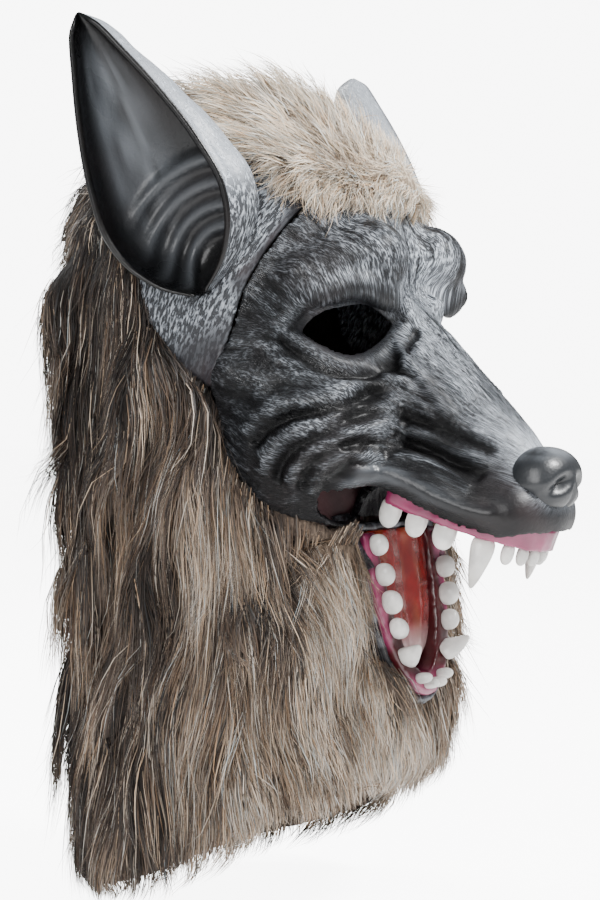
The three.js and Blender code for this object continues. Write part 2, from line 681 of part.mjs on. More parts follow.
// The lower jaw is a trough: half ellipses along the arch, closed at the throat. Its open side
// is raised by above, so that the same form can hollow it out.
function troughSolid(halfWidth, length, depth, start, above) {
  const steps = ARCH_STEPS;
  const turns = 9;
  const rings = [];
  for (let i = 0; i < steps; i++) {
    const [x, y] = archPoint(halfWidth, length, i / steps);
    const along = Math.max(y, start);
    const sink = depth * Math.sqrt(x / halfWidth);
    const ring = [];
    for (let j = 0; j <= turns; j++) {
      const turn = (Math.PI * j) / turns;
      ring.push(vec(x * Math.cos(turn), along, -sink * Math.sin(turn)));
    }
    if (above > 0) ring.push(vec(-x, along, above), vec(x, along, above));
    rings.push(ring);
  }
  rings.push([vec(0, length, 0)]);
  return ringsToSolid(rings);
}

const RIM_HALF_WIDTH = LOWER_ARCH_HALF_WIDTH + LOWER_GUM_WIDTH / 2 + JAW_WALL;
const RIM_LENGTH = LOWER_ARCH_LENGTH + LOWER_GUM_WIDTH / 2 + JAW_WALL;

const troughInside = (clearance) =>
  troughSolid(
    RIM_HALF_WIDTH - JAW_WALL - clearance,
    RIM_LENGTH - JAW_WALL - clearance,
    JAW_DEPTH - JAW_WALL - clearance,
    JAW_WALL + clearance,
    GUM_WIDTH,
  );

const troughOutside = (clearance) =>
  troughSolid(RIM_HALF_WIDTH + clearance, RIM_LENGTH + clearance, JAW_DEPTH + clearance,
    -clearance, 0);

function tongueSolid() {
  const length = TONGUE_SHARE * LOWER_ARCH_LENGTH;
  const steps = 8;
  const across = 8;
  const rings = [];
  for (let i = 0; i <= steps; i++) {
    const share = i / steps;
    const along = JAW_WALL + GAP + share * length;
    const half = TONGUE_HALF_WIDTH * Math.sqrt(Math.max(1 - share ** 4 * 0.9, 0.02));
    const ring = [];
    for (let j = 0; j <= across; j++) {
      const side = Math.cos((Math.PI * j) / across);
      const crown = -TONGUE_CROWN * side * side - TONGUE_FURROW * Math.exp(-((side * 4.5) ** 2));
      ring.push(vec(side * half, along, TONGUE_RISE + crown - TONGUE_DIP * share * share));
    }
    ring.push(vec(-half, along, -JAW_DEPTH), vec(half, along, -JAW_DEPTH));
    rings.push(ring);
  }
  return ringsToSolid(rings).intersect(troughInside(GAP));
}

// Forms that several pieces are cut from or against
const FACE_INSIDE = faceSolid(-LATEX_WALL);
const FACE_OUTSIDE = faceSolid(0);
const FACE_WALL_ROOM = faceSolid(GAP).subtract(faceSolid(-LATEX_WALL - GAP));
const FACE_ROOM = FACE_WALL_ROOM.intersect(sidePrism(grownOutline(FACE_OUTLINE, GAP)));
const HOOD_LENGTH = HEM_DROP * 1.1;
const HOOD_INSIDE = hoodSolid(-CLOTH_WALL, HOOD_LENGTH);
const LATEX_GROWN = sidePrism(grownOutline(LATEX_OUTLINE, SEAM_GAP));
const JAW_ROOM = carried(troughOutside(SEAM_GAP), JAW_FRAME);

// The open mouth, kept clear of cloth and fur: the jaw's outline carried out past the snout and
// up past the throat
function mouthRoom() {
  const outline = archOutline(RIM_HALF_WIDTH + SEAM_GAP, RIM_LENGTH + SEAM_GAP, ARCH_STEPS);
  const room = prism(outline, vec(1, 0, 0), vec(0, 1, 0), vec(0, 0, 0), -GAP, SNOUT_REACH);
  return carried(room, JAW_FRAME);
}

function throatRoom() {
  const side = THROAT_HALF_WIDTH;
  const outline = [[side, -THROAT_HEIGHT], [side, SEAM_GAP], [-side, SEAM_GAP],
    [-side, -THROAT_HEIGHT]];
  const depth = JAW_HINGE_Y - PALATE_REAR_Y - THROAT_RUN * Math.cos(slope);
  const room = prism(outline, vec(1, 0, 0), vec(0, 1, 0), vec(0, 0, 0), depth, SNOUT_REACH);
  return carried(room, JAW_FRAME);
}

const MOUTH_ROOM = mouthRoom().add(throatRoom());

// An eye hole is two arcs that meet at the corners, cut square to the way it faces.
function eyeHole(side) {
  const half = EYE_WIDTH / 2;
  const steps = 12;
  const lid = (along, edge) => [along, (edge * EYE_HEIGHT * (1 - (along / half) ** 2)) / 2];
  const outline = [];
  for (const edge of [1, -1]) {
    for (let i = 0; i < steps; i++) {
      outline.push(lid(edge * half * Math.cos((Math.PI * i) / steps), edge));
    }
  }
  const turn = radians(EYE_TURN);
  const facing = vec(side * Math.sin(turn), -Math.cos(turn), 0);
  const across = vec(0, 0, 1).cross(facing).applyAxisAngle(facing, -side * radians(EYE_TILT));
  const sight = vec(side * EYE_X, -HEAD_HALF_DEPTH + EYE_X / 2, 0).normalize();
  const origin = surfaceAlong(vec(0, 0, EYE_Z), sight);
  const reach = HEAD_HALF_DEPTH / 3;
  return prism(outline, across, facing.clone().cross(across), origin, -reach, reach);
}

function faceShell() {
  const shell = FACE_OUTSIDE.subtract(FACE_INSIDE).intersect(sidePrism(FACE_OUTLINE));
  return largestBody([1, -1].reduce((left, side) => left.subtract(eyeHole(side)), shell));
}

// The roof of the mouth slopes up from the front gum and turns down behind the jaw.
function mouthRoof(grow) {
  const at = (along, up) => {
    const p = vec(0, along, up).applyMatrix4(PALATE_FRAME);
    return [p.y, p.z];
  };
  const front = UPPER_ARCH_LENGTH * 1.3;
  const [rear, top] = at(-THROAT_RUN, 0);
  const low = JAW_HINGE_Z - (rear - JAW_HINGE_Y) * Math.tan(tilt) + GAP;
  const outline = [at(front, 0), [rear, top], [rear, low], [rear + LATEX_WALL, low],
    [rear + LATEX_WALL, top + LATEX_WALL], at(front, -LATEX_WALL)];
  const slab = sidePrism(grownOutline(outline, grow));
  const roof = slab.intersect(faceSolid(grow - LATEX_WALL - GAP));
  return largestBody(roof.subtract(FACE_OUTSIDE.subtract(FACE_INSIDE)));
}

function upperGum() {
  const band = gumBand(
    UPPER_ARCH_HALF_WIDTH, UPPER_ARCH_LENGTH, GUM_WIDTH, GAP, GUM_HEIGHT, GUM_WIDTH / 2,
  );
  return largestBody(carried(band, PALATE_FRAME).subtract(FACE_ROOM));
}

function lowerGum() {
  const low = GUM_ABOVE_RIM - GUM_HEIGHT;
  const band = gumBand(
    LOWER_ARCH_HALF_WIDTH, LOWER_ARCH_LENGTH, LOWER_GUM_WIDTH, low, GUM_ABOVE_RIM, JAW_WALL + 2,
  );
  return largestBody(carried(band.intersect(troughInside(GAP)), JAW_FRAME));
}

function lowerJaw() {
  const shell = troughOutside(0).subtract(troughInside(0));
  return largestBody(carried(shell, JAW_FRAME).subtract(FACE_ROOM));
}

function nosePad() {
  const pad = new THREE.SphereGeometry(1, 12, 8);
  pad.scale(NOSE_HALF_WIDTH, NOSE_HALF_DEPTH, NOSE_HALF_HEIGHT);
  pad.translate(0, NOSE_HALF_DEPTH - SNOUT_REACH, NOSE_Z);
  let nose = geometryToSolid(pad).subtract(faceSolid(GAP));
  for (const side of [1, -1]) {
    const nostril = new THREE.SphereGeometry(NOSTRIL_RADIUS, 8, 6);
    nostril.translate(side * NOSE_HALF_WIDTH * 0.5, -SNOUT_REACH, NOSE_Z - NOSTRIL_RADIUS / 3);
    nose = nose.subtract(geometryToSolid(nostril));
  }
  return largestBody(nose);
}

// The ear cup has leaf-shaped sections from the foot to the tip. It opens to the side, and its
// front flank swells forward where it runs down to the head.
function earForm(side, grow, isHollow) {
  const upwards = vec(
    side * Math.tan(radians(EAR_LEAN_OUT)), Math.tan(radians(EAR_LEAN_BACK)), 1,
  ).normalize();
  const turn = radians(EAR_TURN);
  const open = vec(side * Math.sin(turn), -Math.cos(turn), 0);
  open.addScaledVector(upwards, -open.dot(upwards)).normalize();
  const forward = upwards.clone().cross(open).multiplyScalar(-side);
  const foot = vec(side * EAR_FOOT_X, EAR_FOOT_Y, EAR_FOOT_Z);
  const turns = 9;
  const rows = isHollow ? EAR_SECTIONS.slice(1, -1) : EAR_SECTIONS;
  return ringsToSolid(rows.map((row) => {
    const width = Math.max(row.width * EAR_HALF_WIDTH + grow, 0.5);
    const depth = Math.max(row.depth * EAR_DEPTH + grow, 0.5);
    const flare = (row.flare * EAR_HALF_WIDTH * width) / (row.width * EAR_HALF_WIDTH);
    const centre = foot.clone().addScaledVector(upwards, row.along * EAR_LENGTH);
    const place = (x, out) => centre.clone().addScaledVector(forward, x).addScaledVector(open, out);
    const ring = [];
    for (let j = 0; j <= turns; j++) {
      const angle = (Math.PI * j) / turns;
      const swell = angle < Math.PI / 2 ? flare * Math.sin(2 * angle) : 0;
      ring.push(place(width * Math.cos(angle) + swell, -depth * Math.sin(angle)));
    }
    const lip = isHollow ? EAR_WALL : Math.max(grow, 0);
    if (lip > 0) ring.push(place(-width, lip), place(width, lip));
    return ring;
  }));
}

// The ear is glued to a smooth side panel that fills the notch between the face and the hood.
function ear(side) {
  const half = side > 0 ? [0, SNOUT_REACH] : [-SNOUT_REACH, 0];
  const edge = sidePrism(grownOutline(PANEL_OUTLINE, -SEAM_GAP), ...half);
  const panel = largestBody(FACE_OUTSIDE.subtract(FACE_INSIDE).intersect(edge));
  const middle = sidePrism(grownOutline(PANEL_OUTLINE, -2 * SEAM_GAP), ...half);
  const sunk = faceSolid(-LATEX_WALL / 2).intersect(middle);
  const beside = faceSolid(GAP).add(hoodSolid(GAP, HOOD_LENGTH)).subtract(middle);
  const cup = earForm(side, 0, false).subtract(earForm(side, -EAR_WALL, true));
  return largestBody(panel.add(largestBody(cup.subtract(sunk).subtract(beside))));
}

// A lock is a leaf of fur with a sunk root, a raised middle and a tip that lifts off the pile.
// at gives the place a share of the way along it and a distance off the cloth.
function lockSolid(at, halfWidth, lift) {
  const [root, middle, tip] = [at(0, PILE / 2), at(LOCK_MIDDLE, PILE), at(1, PILE + lift)];
  const normal = outwards(at(LOCK_MIDDLE, 0));
  const across = tip.clone().sub(root).cross(normal).normalize();
  const place = (x, out) => middle.clone().addScaledVector(across, x).addScaledVector(normal, out);
  const ring = [
    place(halfWidth, -PILE / 4),
    place(0, lift * LOCK_BELLY),
    place(-halfWidth, -PILE / 4),
    place(0, -PILE / 2),
  ];
  return ringsToSolid([[root], ring, [tip]]);
}

function hoodLocks() {
  const locks = [];
  LOCK_ROWS.forEach((row, i) => {
    for (let j = 0; j < row.count; j++) {
      const turn = (2 * Math.PI * (j + (i % 2) / 2)) / row.count;
      const sway = Math.sin(j * 2.4 + i * 1.7);
      const z = row.z * HEM_DROP + sway * LOCK_LENGTH * 0.08;
      const length = row.length * LOCK_LENGTH * (1 + 0.1 * sway);
      const lift = row.lift * LOCK_LIFT * (1 + 0.2 * Math.sin(j * 1.3 + i));
      const at = (share, out) => hoodPoint(turn + LOCK_SWAY * sway * share, z - length * share, out);
      if (!isOverLatex(at(0.5, 0))) locks.push(lockSolid(at, LOCK_HALF_WIDTH, lift));
    }
  });
  return locks;
}

function crestLocks() {
  const locks = [];
  CREST_ROWS.forEach((row, i) => {
    for (let j = 0; j < row.count; j++) {
      const roll = row.spread * ((2 * j) / (row.count - 1) - 1);
      const lift = row.lift * CREST_LOCK_LIFT * (1 + 0.2 * Math.sin(j * 2.1 + i));
      const at = (share, out) => crownPoint(row.pitch + CREST_LOCK_TURN * share, roll, out);
      locks.push(lockSolid(at, CREST_LOCK_HALF_WIDTH, lift));
    }
  });
  return locks;
}

// Whether a point lies inside the latex's outline seen from the side
function isOverLatex(p) {
  let inside = false;
  LATEX_OUTLINE.forEach(([y, z], i) => {
    const [v, w] = LATEX_OUTLINE[(i + 1) % LATEX_OUTLINE.length];
    if (z > p.z !== w > p.z && p.y < y + ((v - y) * (p.z - z)) / (w - z)) inside = !inside;
  });
  return inside;
}

// The fur and the cloth that it grows from, before it is pieced
function furCoat() {
  const pile = hoodSolid(PILE, HOOD_LENGTH);
  const whole = [...hoodLocks(), ...crestLocks()].reduce((sum, lock) => sum.add(lock), pile);
  const room = [LATEX_GROWN, JAW_ROOM, MOUTH_ROOM, mouthRoof(GAP),
    earForm(1, SEAM_GAP, false), earForm(-1, SEAM_GAP, false)];
  const coat = whole.subtract(HOOD_INSIDE).intersect(aboveHem());
  return room.reduce((left, solid) => left.subtract(solid), coat);
}

function furPieces() {
  const corner = (row) => [row.y * HEAD_HALF_DEPTH, row.z * HEM_DROP];
  const [crest, beard] = [CREST_PIECE, BEARD_PIECE].map((rows) => rows.map(corner));
  const coat = furCoat();
  const rest = coat.subtract(sidePrism(grownOutline(crest, GAP)));
  return {
    crest: largestBody(coat.intersect(sidePrism(crest))),
    hood: largestBody(rest.subtract(sidePrism(grownOutline(beard, GAP)))),
    beard: largestBody(coat.intersect(sidePrism(beard))),
  };
}

const LATEX_GREY = new THREE.MeshStandardMaterial({ color: 0x3a3a3e, roughness: 0.5 });
const NOSE_BLACK = new THREE.MeshStandardMaterial({ color: 0x16171a, roughness: 0.25 });
const GUM_PINK = new THREE.MeshStandardMaterial({ color: 0xa84a7c, roughness: 0.35 });
const TONGUE_RED = new THREE.MeshStandardMaterial({ color: 0xa82820, roughness: 0.25 });
const MOUTH_MAROON = new THREE.MeshStandardMaterial({ color: 0x3c1518, roughness: 0.4 });
const TOOTH_WHITE = new THREE.MeshStandardMaterial({ color: 0xf0efe8, roughness: 0.3 });
const FUR_BROWN = new THREE.MeshStandardMaterial({ color: 0x6e6054, roughness: 0.95 });
const FUR_CREAM = new THREE.MeshStandardMaterial({ color: 0xb5a287, roughness: 0.95 });

const mask = new THREE.Group();

function addPiece(name, solid, material) {
  const mesh = new THREE.Mesh(solidToGeometry(solid), material);
  mesh.name = name;
  mask.add(mesh);
}

const fur = furPieces();
addPiece("face_shell", faceShell(), LATEX_GREY);
addPiece("nose_pad", nosePad(), NOSE_BLACK);
addPiece("ear_left", ear(1), LATEX_GREY);
addPiece("ear_right", ear(-1), LATEX_GREY);
addPiece("fur_crest", fur.crest, FUR_CREAM);
addPiece("fur_hood", fur.hood, FUR_BROWN);
addPiece("fur_beard", fur.beard, FUR_CREAM);
addPiece("mouth_roof", mouthRoof(0), MOUTH_MAROON);
addPiece("lower_jaw", lowerJaw(), LATEX_GREY);
addPiece("upper_gum", upperGum(), GUM_PINK);
addPiece("lower_gum", lowerGum(), GUM_PINK);
addPiece("tongue", carried(tongueSolid(), JAW_FRAME), TONGUE_RED);
const upperSet = teeth(UPPER_TEETH, "upper", UPPER_ARCH_HALF_WIDTH, UPPER_ARCH_LENGTH,
  GUM_HEIGHT, PALATE_FRAME, ["left", "right"]);
const lowerSet = teeth(LOWER_TEETH, "lower", LOWER_ARCH_HALF_WIDTH, LOWER_ARCH_LENGTH,
  GUM_ABOVE_RIM, JAW_FRAME, ["right", "left"]);
for (const [name, solid] of [...upperSet, ...lowerSet]) addPiece(name, solid, TOOTH_WHITE);

export default mask;
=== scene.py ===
"""A full-head wolf mask: a moulded face with silver paint and painted highlights, ears, an open
mouth and long fur.

The frame gives the solids. The face and ears are rebuilt finely from the same forms, and the fur is
combed over the solids' own surface. Tables are in shares of the named sizes, which are millimetres.
"""
import itertools
import math

import bmesh
import bpy
import numpy as np
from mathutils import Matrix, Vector
from mathutils.bvhtree import BVHTree


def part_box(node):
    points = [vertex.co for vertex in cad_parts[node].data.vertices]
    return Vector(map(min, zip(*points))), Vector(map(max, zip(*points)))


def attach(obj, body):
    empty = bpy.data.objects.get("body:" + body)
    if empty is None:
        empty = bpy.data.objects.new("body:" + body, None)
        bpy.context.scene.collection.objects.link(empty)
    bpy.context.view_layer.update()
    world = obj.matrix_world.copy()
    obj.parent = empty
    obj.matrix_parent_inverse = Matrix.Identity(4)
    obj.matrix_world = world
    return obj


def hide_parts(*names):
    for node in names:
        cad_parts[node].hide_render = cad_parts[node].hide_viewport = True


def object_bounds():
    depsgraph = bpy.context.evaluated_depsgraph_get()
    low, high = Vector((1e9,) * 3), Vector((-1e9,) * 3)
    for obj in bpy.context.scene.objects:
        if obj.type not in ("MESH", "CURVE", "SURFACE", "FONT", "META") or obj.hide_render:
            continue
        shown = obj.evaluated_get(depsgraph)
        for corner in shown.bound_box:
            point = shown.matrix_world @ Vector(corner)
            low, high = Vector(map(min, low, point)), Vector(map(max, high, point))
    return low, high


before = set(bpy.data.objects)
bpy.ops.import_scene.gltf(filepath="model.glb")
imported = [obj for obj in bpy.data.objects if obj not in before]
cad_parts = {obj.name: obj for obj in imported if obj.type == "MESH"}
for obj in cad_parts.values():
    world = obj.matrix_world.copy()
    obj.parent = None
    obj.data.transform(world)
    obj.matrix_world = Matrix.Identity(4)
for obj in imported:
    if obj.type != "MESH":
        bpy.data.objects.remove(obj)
CAD_LOW, CAD_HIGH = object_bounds()

bl_info = {
    "name": "Wolf mask",
    "version": (1, 0, 0),
    "blender": (4, 5, 0),
    "location": "View3D > Sidebar > Wolf mask",
    "description": "Builds a full-head wolf mask of latex and long fur",
    "category": "Object",
}

MM = 0.001

# Driving sizes of the head, in millimetres
HALF_WIDTH = 92
HALF_DEPTH = 103
CRANIUM_HALF_HEIGHT = 90
HEAD_HEIGHT = 225
SNOUT_REACH = 180
NOSE_LEVEL = -187
HEM_DROP = 412
SIDE_HEM_DROP = 378
FRONT_HEM_DROP = 322
WALL = 2.6
FORM_BLEND = 24
RIDGE_BLEND = 9

# The ear
EAR_LENGTH = 147
EAR_HALF_WIDTH = 33
EAR_DEPTH = 30
EAR_WALL = 3
EAR_FOOT = (95, -27, -96)
EAR_LEAN_OUT = math.radians(13)
EAR_LEAN_BACK = math.radians(20.5)
EAR_TURN = math.radians(75)

# The eye hole
EYE_X = 42
EYE_Z = -112
EYE_WIDTH = 50
EYE_HEIGHT = 28
EYE_TURN = math.radians(44)
EYE_TILT = math.radians(5)

# The head's forms. x, rx are shares of HALF_WIDTH, y, ry of HALF_DEPTH, z, rz of HEAD_HEIGHT.
CHEEK = {"x": 0.54, "y": -0.5, "z": -0.755, "rx": 0.39, "ry": 0.43, "rz": 0.225}
SOCKET = {"x": 0.48, "y": -0.89, "z": -0.5, "rx": 0.27, "ry": 0.15, "rz": 0.075}
FRONT_LIP = {"x": 0, "y": -1.53, "z": -0.905, "rx": 0.26, "ry": 0.16, "rz": 0.072}
CRANIUM_CENTRE = np.array([0, 0.07 * HALF_DEPTH, WALL - CRANIUM_HALF_HEIGHT])
CRANIUM_RADII = np.array([HALF_WIDTH, 0.91 * HALF_DEPTH, CRANIUM_HALF_HEIGHT])

# Bars from one ball to another. x, r are shares of HALF_WIDTH, reach of SNOUT_REACH, z of
# HEAD_HEIGHT.
MUZZLE = ({"x": 0, "reach": 0.464, "z": -0.653, "r": 0.424},
          {"x": 0, "reach": 0.829, "z": -0.845, "r": 0.245})
RIDGES = {
    "flews": ({"x": 0.36, "reach": 0.524, "z": -0.822, "r": 0.174},
              {"x": 0.215, "reach": 0.85, "z": -0.898, "r": 0.163}),
    "bridge": ({"x": 0, "reach": 0.478, "z": -0.493, "r": 0.13},
               {"x": 0, "reach": 0.785, "z": -0.756, "r": 0.14}),
    "brow": ({"x": 0.32, "reach": 0.455, "z": -0.345, "r": 0.205},
             {"x": 0.7, "reach": 0.36, "z": -0.385, "r": 0.1}),
    "cheekbone": ({"x": 0.3, "reach": 0.5, "z": -0.62, "r": 0.11},
                  {"x": 0.86, "reach": 0.2, "z": -0.6, "r": 0.1}),
}

# The neck by level: z is a share of HEM_DROP, width of HALF_WIDTH, back, front of HALF_DEPTH.
NECK_LEVELS = [
    {"z": -1.1, "width": 1.0, "back": 0.8, "front": 0.66},
    {"z": -0.85, "width": 0.97, "back": 0.86, "front": 0.7},
    {"z": -0.78, "width": 0.95, "back": 0.88, "front": 0.82},
    {"z": -0.71, "width": 0.93, "back": 0.9, "front": 0.87},
    {"z": -0.62, "width": 0.92, "back": 0.93, "front": 0.82},
    {"z": -0.53, "width": 0.93, "back": 0.95, "front": 0.75},
    {"z": -0.44, "width": 0.95, "back": 0.96, "front": 0.7},
    {"z": -0.24, "width": 0.95, "back": 0.96, "front": 0.7},
]

# The side panel between the face and the hood, seen from the side. y is a share of SNOUT_REACH
# in front of the origin and of HALF_DEPTH behind it, z of HEAD_HEIGHT.
PANEL_EDGE = [
    {"y": -0.337, "z": -0.222}, {"y": -0.225, "z": -0.42}, {"y": -0.139, "z": -0.631},
    {"y": -0.07, "z": -0.6}, {"y": 0.07, "z": -0.49}, {"y": 0.17, "z": -0.33},
    {"y": 0.22, "z": -0.17}, {"y": 0.06, "z": -0.1}, {"y": -0.2, "z": -0.12},
]

# Where the fur meets the latex, from the forehead round the ear and the cheek to the mouth
LATEX_EDGE = [
    {"y": -0.45, "z": -0.215}, {"y": -0.2, "z": -0.115}, {"y": 0.03, "z": -0.1},
    {"y": 0.126, "z": -0.17}, {"y": 0.097, "z": -0.33}, {"y": 0.04, "z": -0.49},
    {"y": -0.07, "z": -0.6}, {"y": -0.139, "z": -0.64}, {"y": -0.185, "z": -0.785},
    {"y": -0.28, "z": -0.88}, {"y": -0.44, "z": -0.93},
]

# Folds in the face, seen from the side. Height and width are millimetres, and a height above 0 is
# a ridge, below 0 a groove. A path has y as a share of SNOUT_REACH and z of HEAD_HEIGHT.
FOLDS = {
    "brow_edge": {"height": 4.2, "width": 4.5, "path": [
        (-0.348, -0.47), (-0.415, -0.43), (-0.483, -0.412), (-0.512, -0.425), (-0.53, -0.47)]},
    "cheek_groove_upper": {"height": -4.2, "width": 3.6, "path": [
        (-0.535, -0.615), (-0.51, -0.655), (-0.459, -0.679), (-0.392, -0.685), (-0.327, -0.711),
        (-0.271, -0.76)]},
    "cheek_groove_middle": {"height": -4.6, "width": 3.6, "path": [
        (-0.541, -0.664), (-0.489, -0.713), (-0.421, -0.744), (-0.368, -0.784),
        (-0.342, -0.834)]},
    "cheek_groove_lower": {"height": -4.6, "width": 3.4, "path": [
        (-0.542, -0.735), (-0.492, -0.753), (-0.432, -0.791), (-0.396, -0.848)]},
    "cheek_groove_mouth": {"height": -3.8, "width": 3.0, "path": [
        (-0.527, -0.776), (-0.499, -0.792), (-0.462, -0.826), (-0.44, -0.86)]},
    "inner_ridge_low": {"height": 2.6, "width": 1.9, "path": [
        (-0.558, -0.6), (-0.608, -0.621), (-0.647, -0.658), (-0.695, -0.7)]},
    "inner_ridge_middle": {"height": 2.8, "width": 1.9, "path": [
        (-0.508, -0.522), (-0.564, -0.567), (-0.624, -0.626), (-0.703, -0.692)]},
    "inner_ridge_high": {"height": 2.2, "width": 2.0, "path": [
        (-0.557, -0.523), (-0.622, -0.578), (-0.691, -0.626), (-0.737, -0.655)]},
    "inner_groove": {"height": -2.0, "width": 2.0, "path": [
        (-0.53, -0.575), (-0.588, -0.602), (-0.64, -0.65), (-0.7, -0.71)]},
    "muzzle_groove_upper": {"height": -2.2, "width": 3.0, "path": [
        (-0.565, -0.686), (-0.648, -0.708), (-0.752, -0.739), (-0.829, -0.771)]},
    "muzzle_groove_lower": {"height": -3.0, "width": 3.2, "path": [
        (-0.578, -0.74), (-0.65, -0.757), (-0.731, -0.79), (-0.813, -0.822)]},
    "lip": {"height": 2.6, "width": 3.6, "path": [
        (-0.5, -0.812), (-0.56, -0.808), (-0.62, -0.825), (-0.7, -0.86), (-0.79, -0.89),
        (-0.88, -0.9)]},
}

# What the shares of a fold's path stand for, along y and z
SIDE_SCALE = np.array([SNOUT_REACH, HEAD_HEIGHT])

# Ridges and grooves round the eye hole: at is the distance from its edge, lower and upper the
# height below and above the hole, and inner what the upper one gains towards the nose, all in
# millimetres.
LIDS = [
    {"at": 3.5, "width": 3.4, "lower": 2.8, "upper": 0.8, "inner": 0},
    {"at": 10, "width": 2.4, "lower": -2.6, "upper": 0, "inner": 0},
    {"at": 8.5, "width": 4.2, "lower": 0, "upper": 2.6, "inner": 4.4},
    {"at": 3.5, "width": 2.2, "lower": 0, "upper": -1.6, "inner": 0},
]

# How much silver paint each part of the face takes; on the bridge it is also a painted highlight
SILVER_AND_HIGHLIGHT = {"bridge": 1.9, "brow": 0.36, "forehead": 0.14, "under_eye": 0.3, "cheek": 0.1,
          "raised": 0.46}

# The rear and front edges of the web at the right corner of the mouth, in millimetres
CORNER_REAR = [(-49, -72, -204), (-46, -78, -216), (-41, -87, -231)]
CORNER_FRONT = [(-36, -74, -203), (-35, -80, -215), (-35, -88, -229)]

# The ear from foot to tip. width and flare are shares of EAR_HALF_WIDTH, depth of EAR_DEPTH.
EAR_SECTIONS = [
    {"along": 0.0, "width": 0.12, "depth": 0.3, "flare": 0.05},
    {"along": 0.05, "width": 0.44, "depth": 0.7, "flare": 0.2},
    {"along": 0.14, "width": 0.78, "depth": 1.0, "flare": 0.42},
    {"along": 0.28, "width": 1.0, "depth": 1.0, "flare": 0.5},
    {"along": 0.46, "width": 0.93, "depth": 0.93, "flare": 0.4},
    {"along": 0.64, "width": 0.73, "depth": 0.8, "flare": 0.27},
    {"along": 0.82, "width": 0.45, "depth": 0.6, "flare": 0.15},
    {"along": 0.95, "width": 0.22, "depth": 0.38, "flare": 0.06},
    {"along": 1.0, "width": 0.1, "depth": 0.18, "flare": 0.02},
]

# What each column of EAR_SECTIONS is a share of
EAR_SCALES = {"width": EAR_HALF_WIDTH, "depth": EAR_DEPTH, "flare": EAR_HALF_WIDTH}

# The curved ribs in the cup of the ear: how far each runs round a place near the cup's foot, in
# millimetres
EAR_RIBS = [21, 31, 42, 54]
RIB_CENTRE = {"along": 0.05, "forward": 12}
RIB_HALF_WIDTH = 3.6
RIB_HEIGHT = 4.2

# How finely the ear and the side panel are divided
EAR_ROWS = 110
EAR_TURNS = 44
PANEL_RINGS = 34
PANEL_TURNS = 120

# The outermost and innermost ring of the side panel, as shares of the way out to its edge
PANEL_RIM = 0.996
PANEL_HUB = 0.03

# How much wider the tongue is made to fill the jaw, how much larger the teeth, and how far in
# millimetres the upper molars are raised into their gum
TONGUE_SPREAD = 1.28
TOOTH_SWELL = 1.06
MOLAR_RAISE = 2.5

# Fur tones from the darkest to the palest hair, as linear colours
FUR_TONES = {
    "brown": [(0.008, 0.006, 0.005), (0.036, 0.025, 0.019), (0.115, 0.083, 0.062),
              (0.330, 0.245, 0.172), (0.650, 0.575, 0.490)],
    "cream": [(0.070, 0.052, 0.040), (0.230, 0.185, 0.145), (0.480, 0.400, 0.315),
              (0.730, 0.610, 0.465), (0.860, 0.800, 0.710)],
}

# How each coat of fur is laid. strands is how many, length in millimetres, tone the middle of its
# tones from 0 to 1, lift how far the tips stand off the coat in millimetres, steps how many faces
# a strand has along it, and colours the name of its FUR_TONES.
FUR_COATS = {
    "fur_hood": {"strands": 52000, "length": 66, "tone": 0.39, "lift": 4, "steps": 4,
                 "colours": "brown"},
    "fur_crest": {"strands": 20000, "length": 30, "tone": 0.68, "lift": 6, "steps": 3,
                  "colours": "cream"},
    "fur_beard": {"strands": 17000, "length": 40, "tone": 0.6, "lift": 5, "steps": 3,
                  "colours": "brown"},
}
STRANDS_PER_LOCK = 16

# How many times more hair grows along the edge of the latex, and how far in millimetres that
# reaches
EDGE_DENSITY = 6
EDGE_REACH = 9

# How far the under fur swells over its solid, how far the hair keeps off the form, and how far
# hair may stray past a limit, in millimetres
COAT_SWELL = 1.4
HAIR_CLEARANCE = 0.8
STRAY_REACH = 14

# How low the hair may hang in front, at the sides and behind
HAIR_DROPS = [FRONT_HEM_DROP + 12, SIDE_HEM_DROP + 9, HEM_DROP + 4]

# The moulded hair of the face: the width and length of a stroke, and how far a radian reaches
# round the muzzle and back from the nose, in millimetres
STROKE_WIDTH = 0.5
STROKE_LENGTH = 3.1
ROUND_REACH = 70
BACK_REACH = 95

# The camera stands in front of the mask's right cheek and looks nearly level. Its distances and
# its lens are in millimetres.
CAMERA_AZIMUTH = math.radians(-57)
CAMERA_ELEVATION = math.radians(1.5)
CAMERA_DISTANCE = 1100
CAMERA_ACROSS = 18.4
CAMERA_HEIGHT = -173.6
CAMERA_LENS = 83.6
CAMERA_SENSOR = 36

# How brightly the floor and the backdrop show in the picture, and how much light they give
FLOOR_GLOW = 7.5
BACKDROP_GLOW = 8.0
AMBIENT = 0.3

# The lamps, placed from the middle of the mask, in metres and watts
LAMPS = {
    "key": {"place": (0.3, -1.2, 1.3), "size": 0.45, "power": 66},
    "side": {"place": (-1.5, -0.3, 0.7), "size": 0.9, "power": 20},
    "rim": {"place": (0.3, 1.2, 1.2), "size": 0.8, "power": 30},
}


# Forms, in millimetres, with points as an array of rows


def smooth_union(a, b, blend):
    near = np.maximum(blend - np.abs(a - b), 0) / blend
    return np.minimum(a, b) - near * near * blend / 4


def ball(p, centre, radii):
    q = p - centre
    scaled = np.linalg.norm(q / radii, axis=1)
    slope = np.linalg.norm(q / radii**2, axis=1)
    return scaled * (scaled - 1) / np.maximum(slope, 1e-9)


def row_ball(p, row):
    centre = np.array([row["x"] * HALF_WIDTH, row["y"] * HALF_DEPTH, row["z"] * HEAD_HEIGHT])
    radii = np.array([row["rx"] * HALF_WIDTH, row["ry"] * HALF_DEPTH, row["rz"] * HEAD_HEIGHT])
    return ball(p, centre, radii)


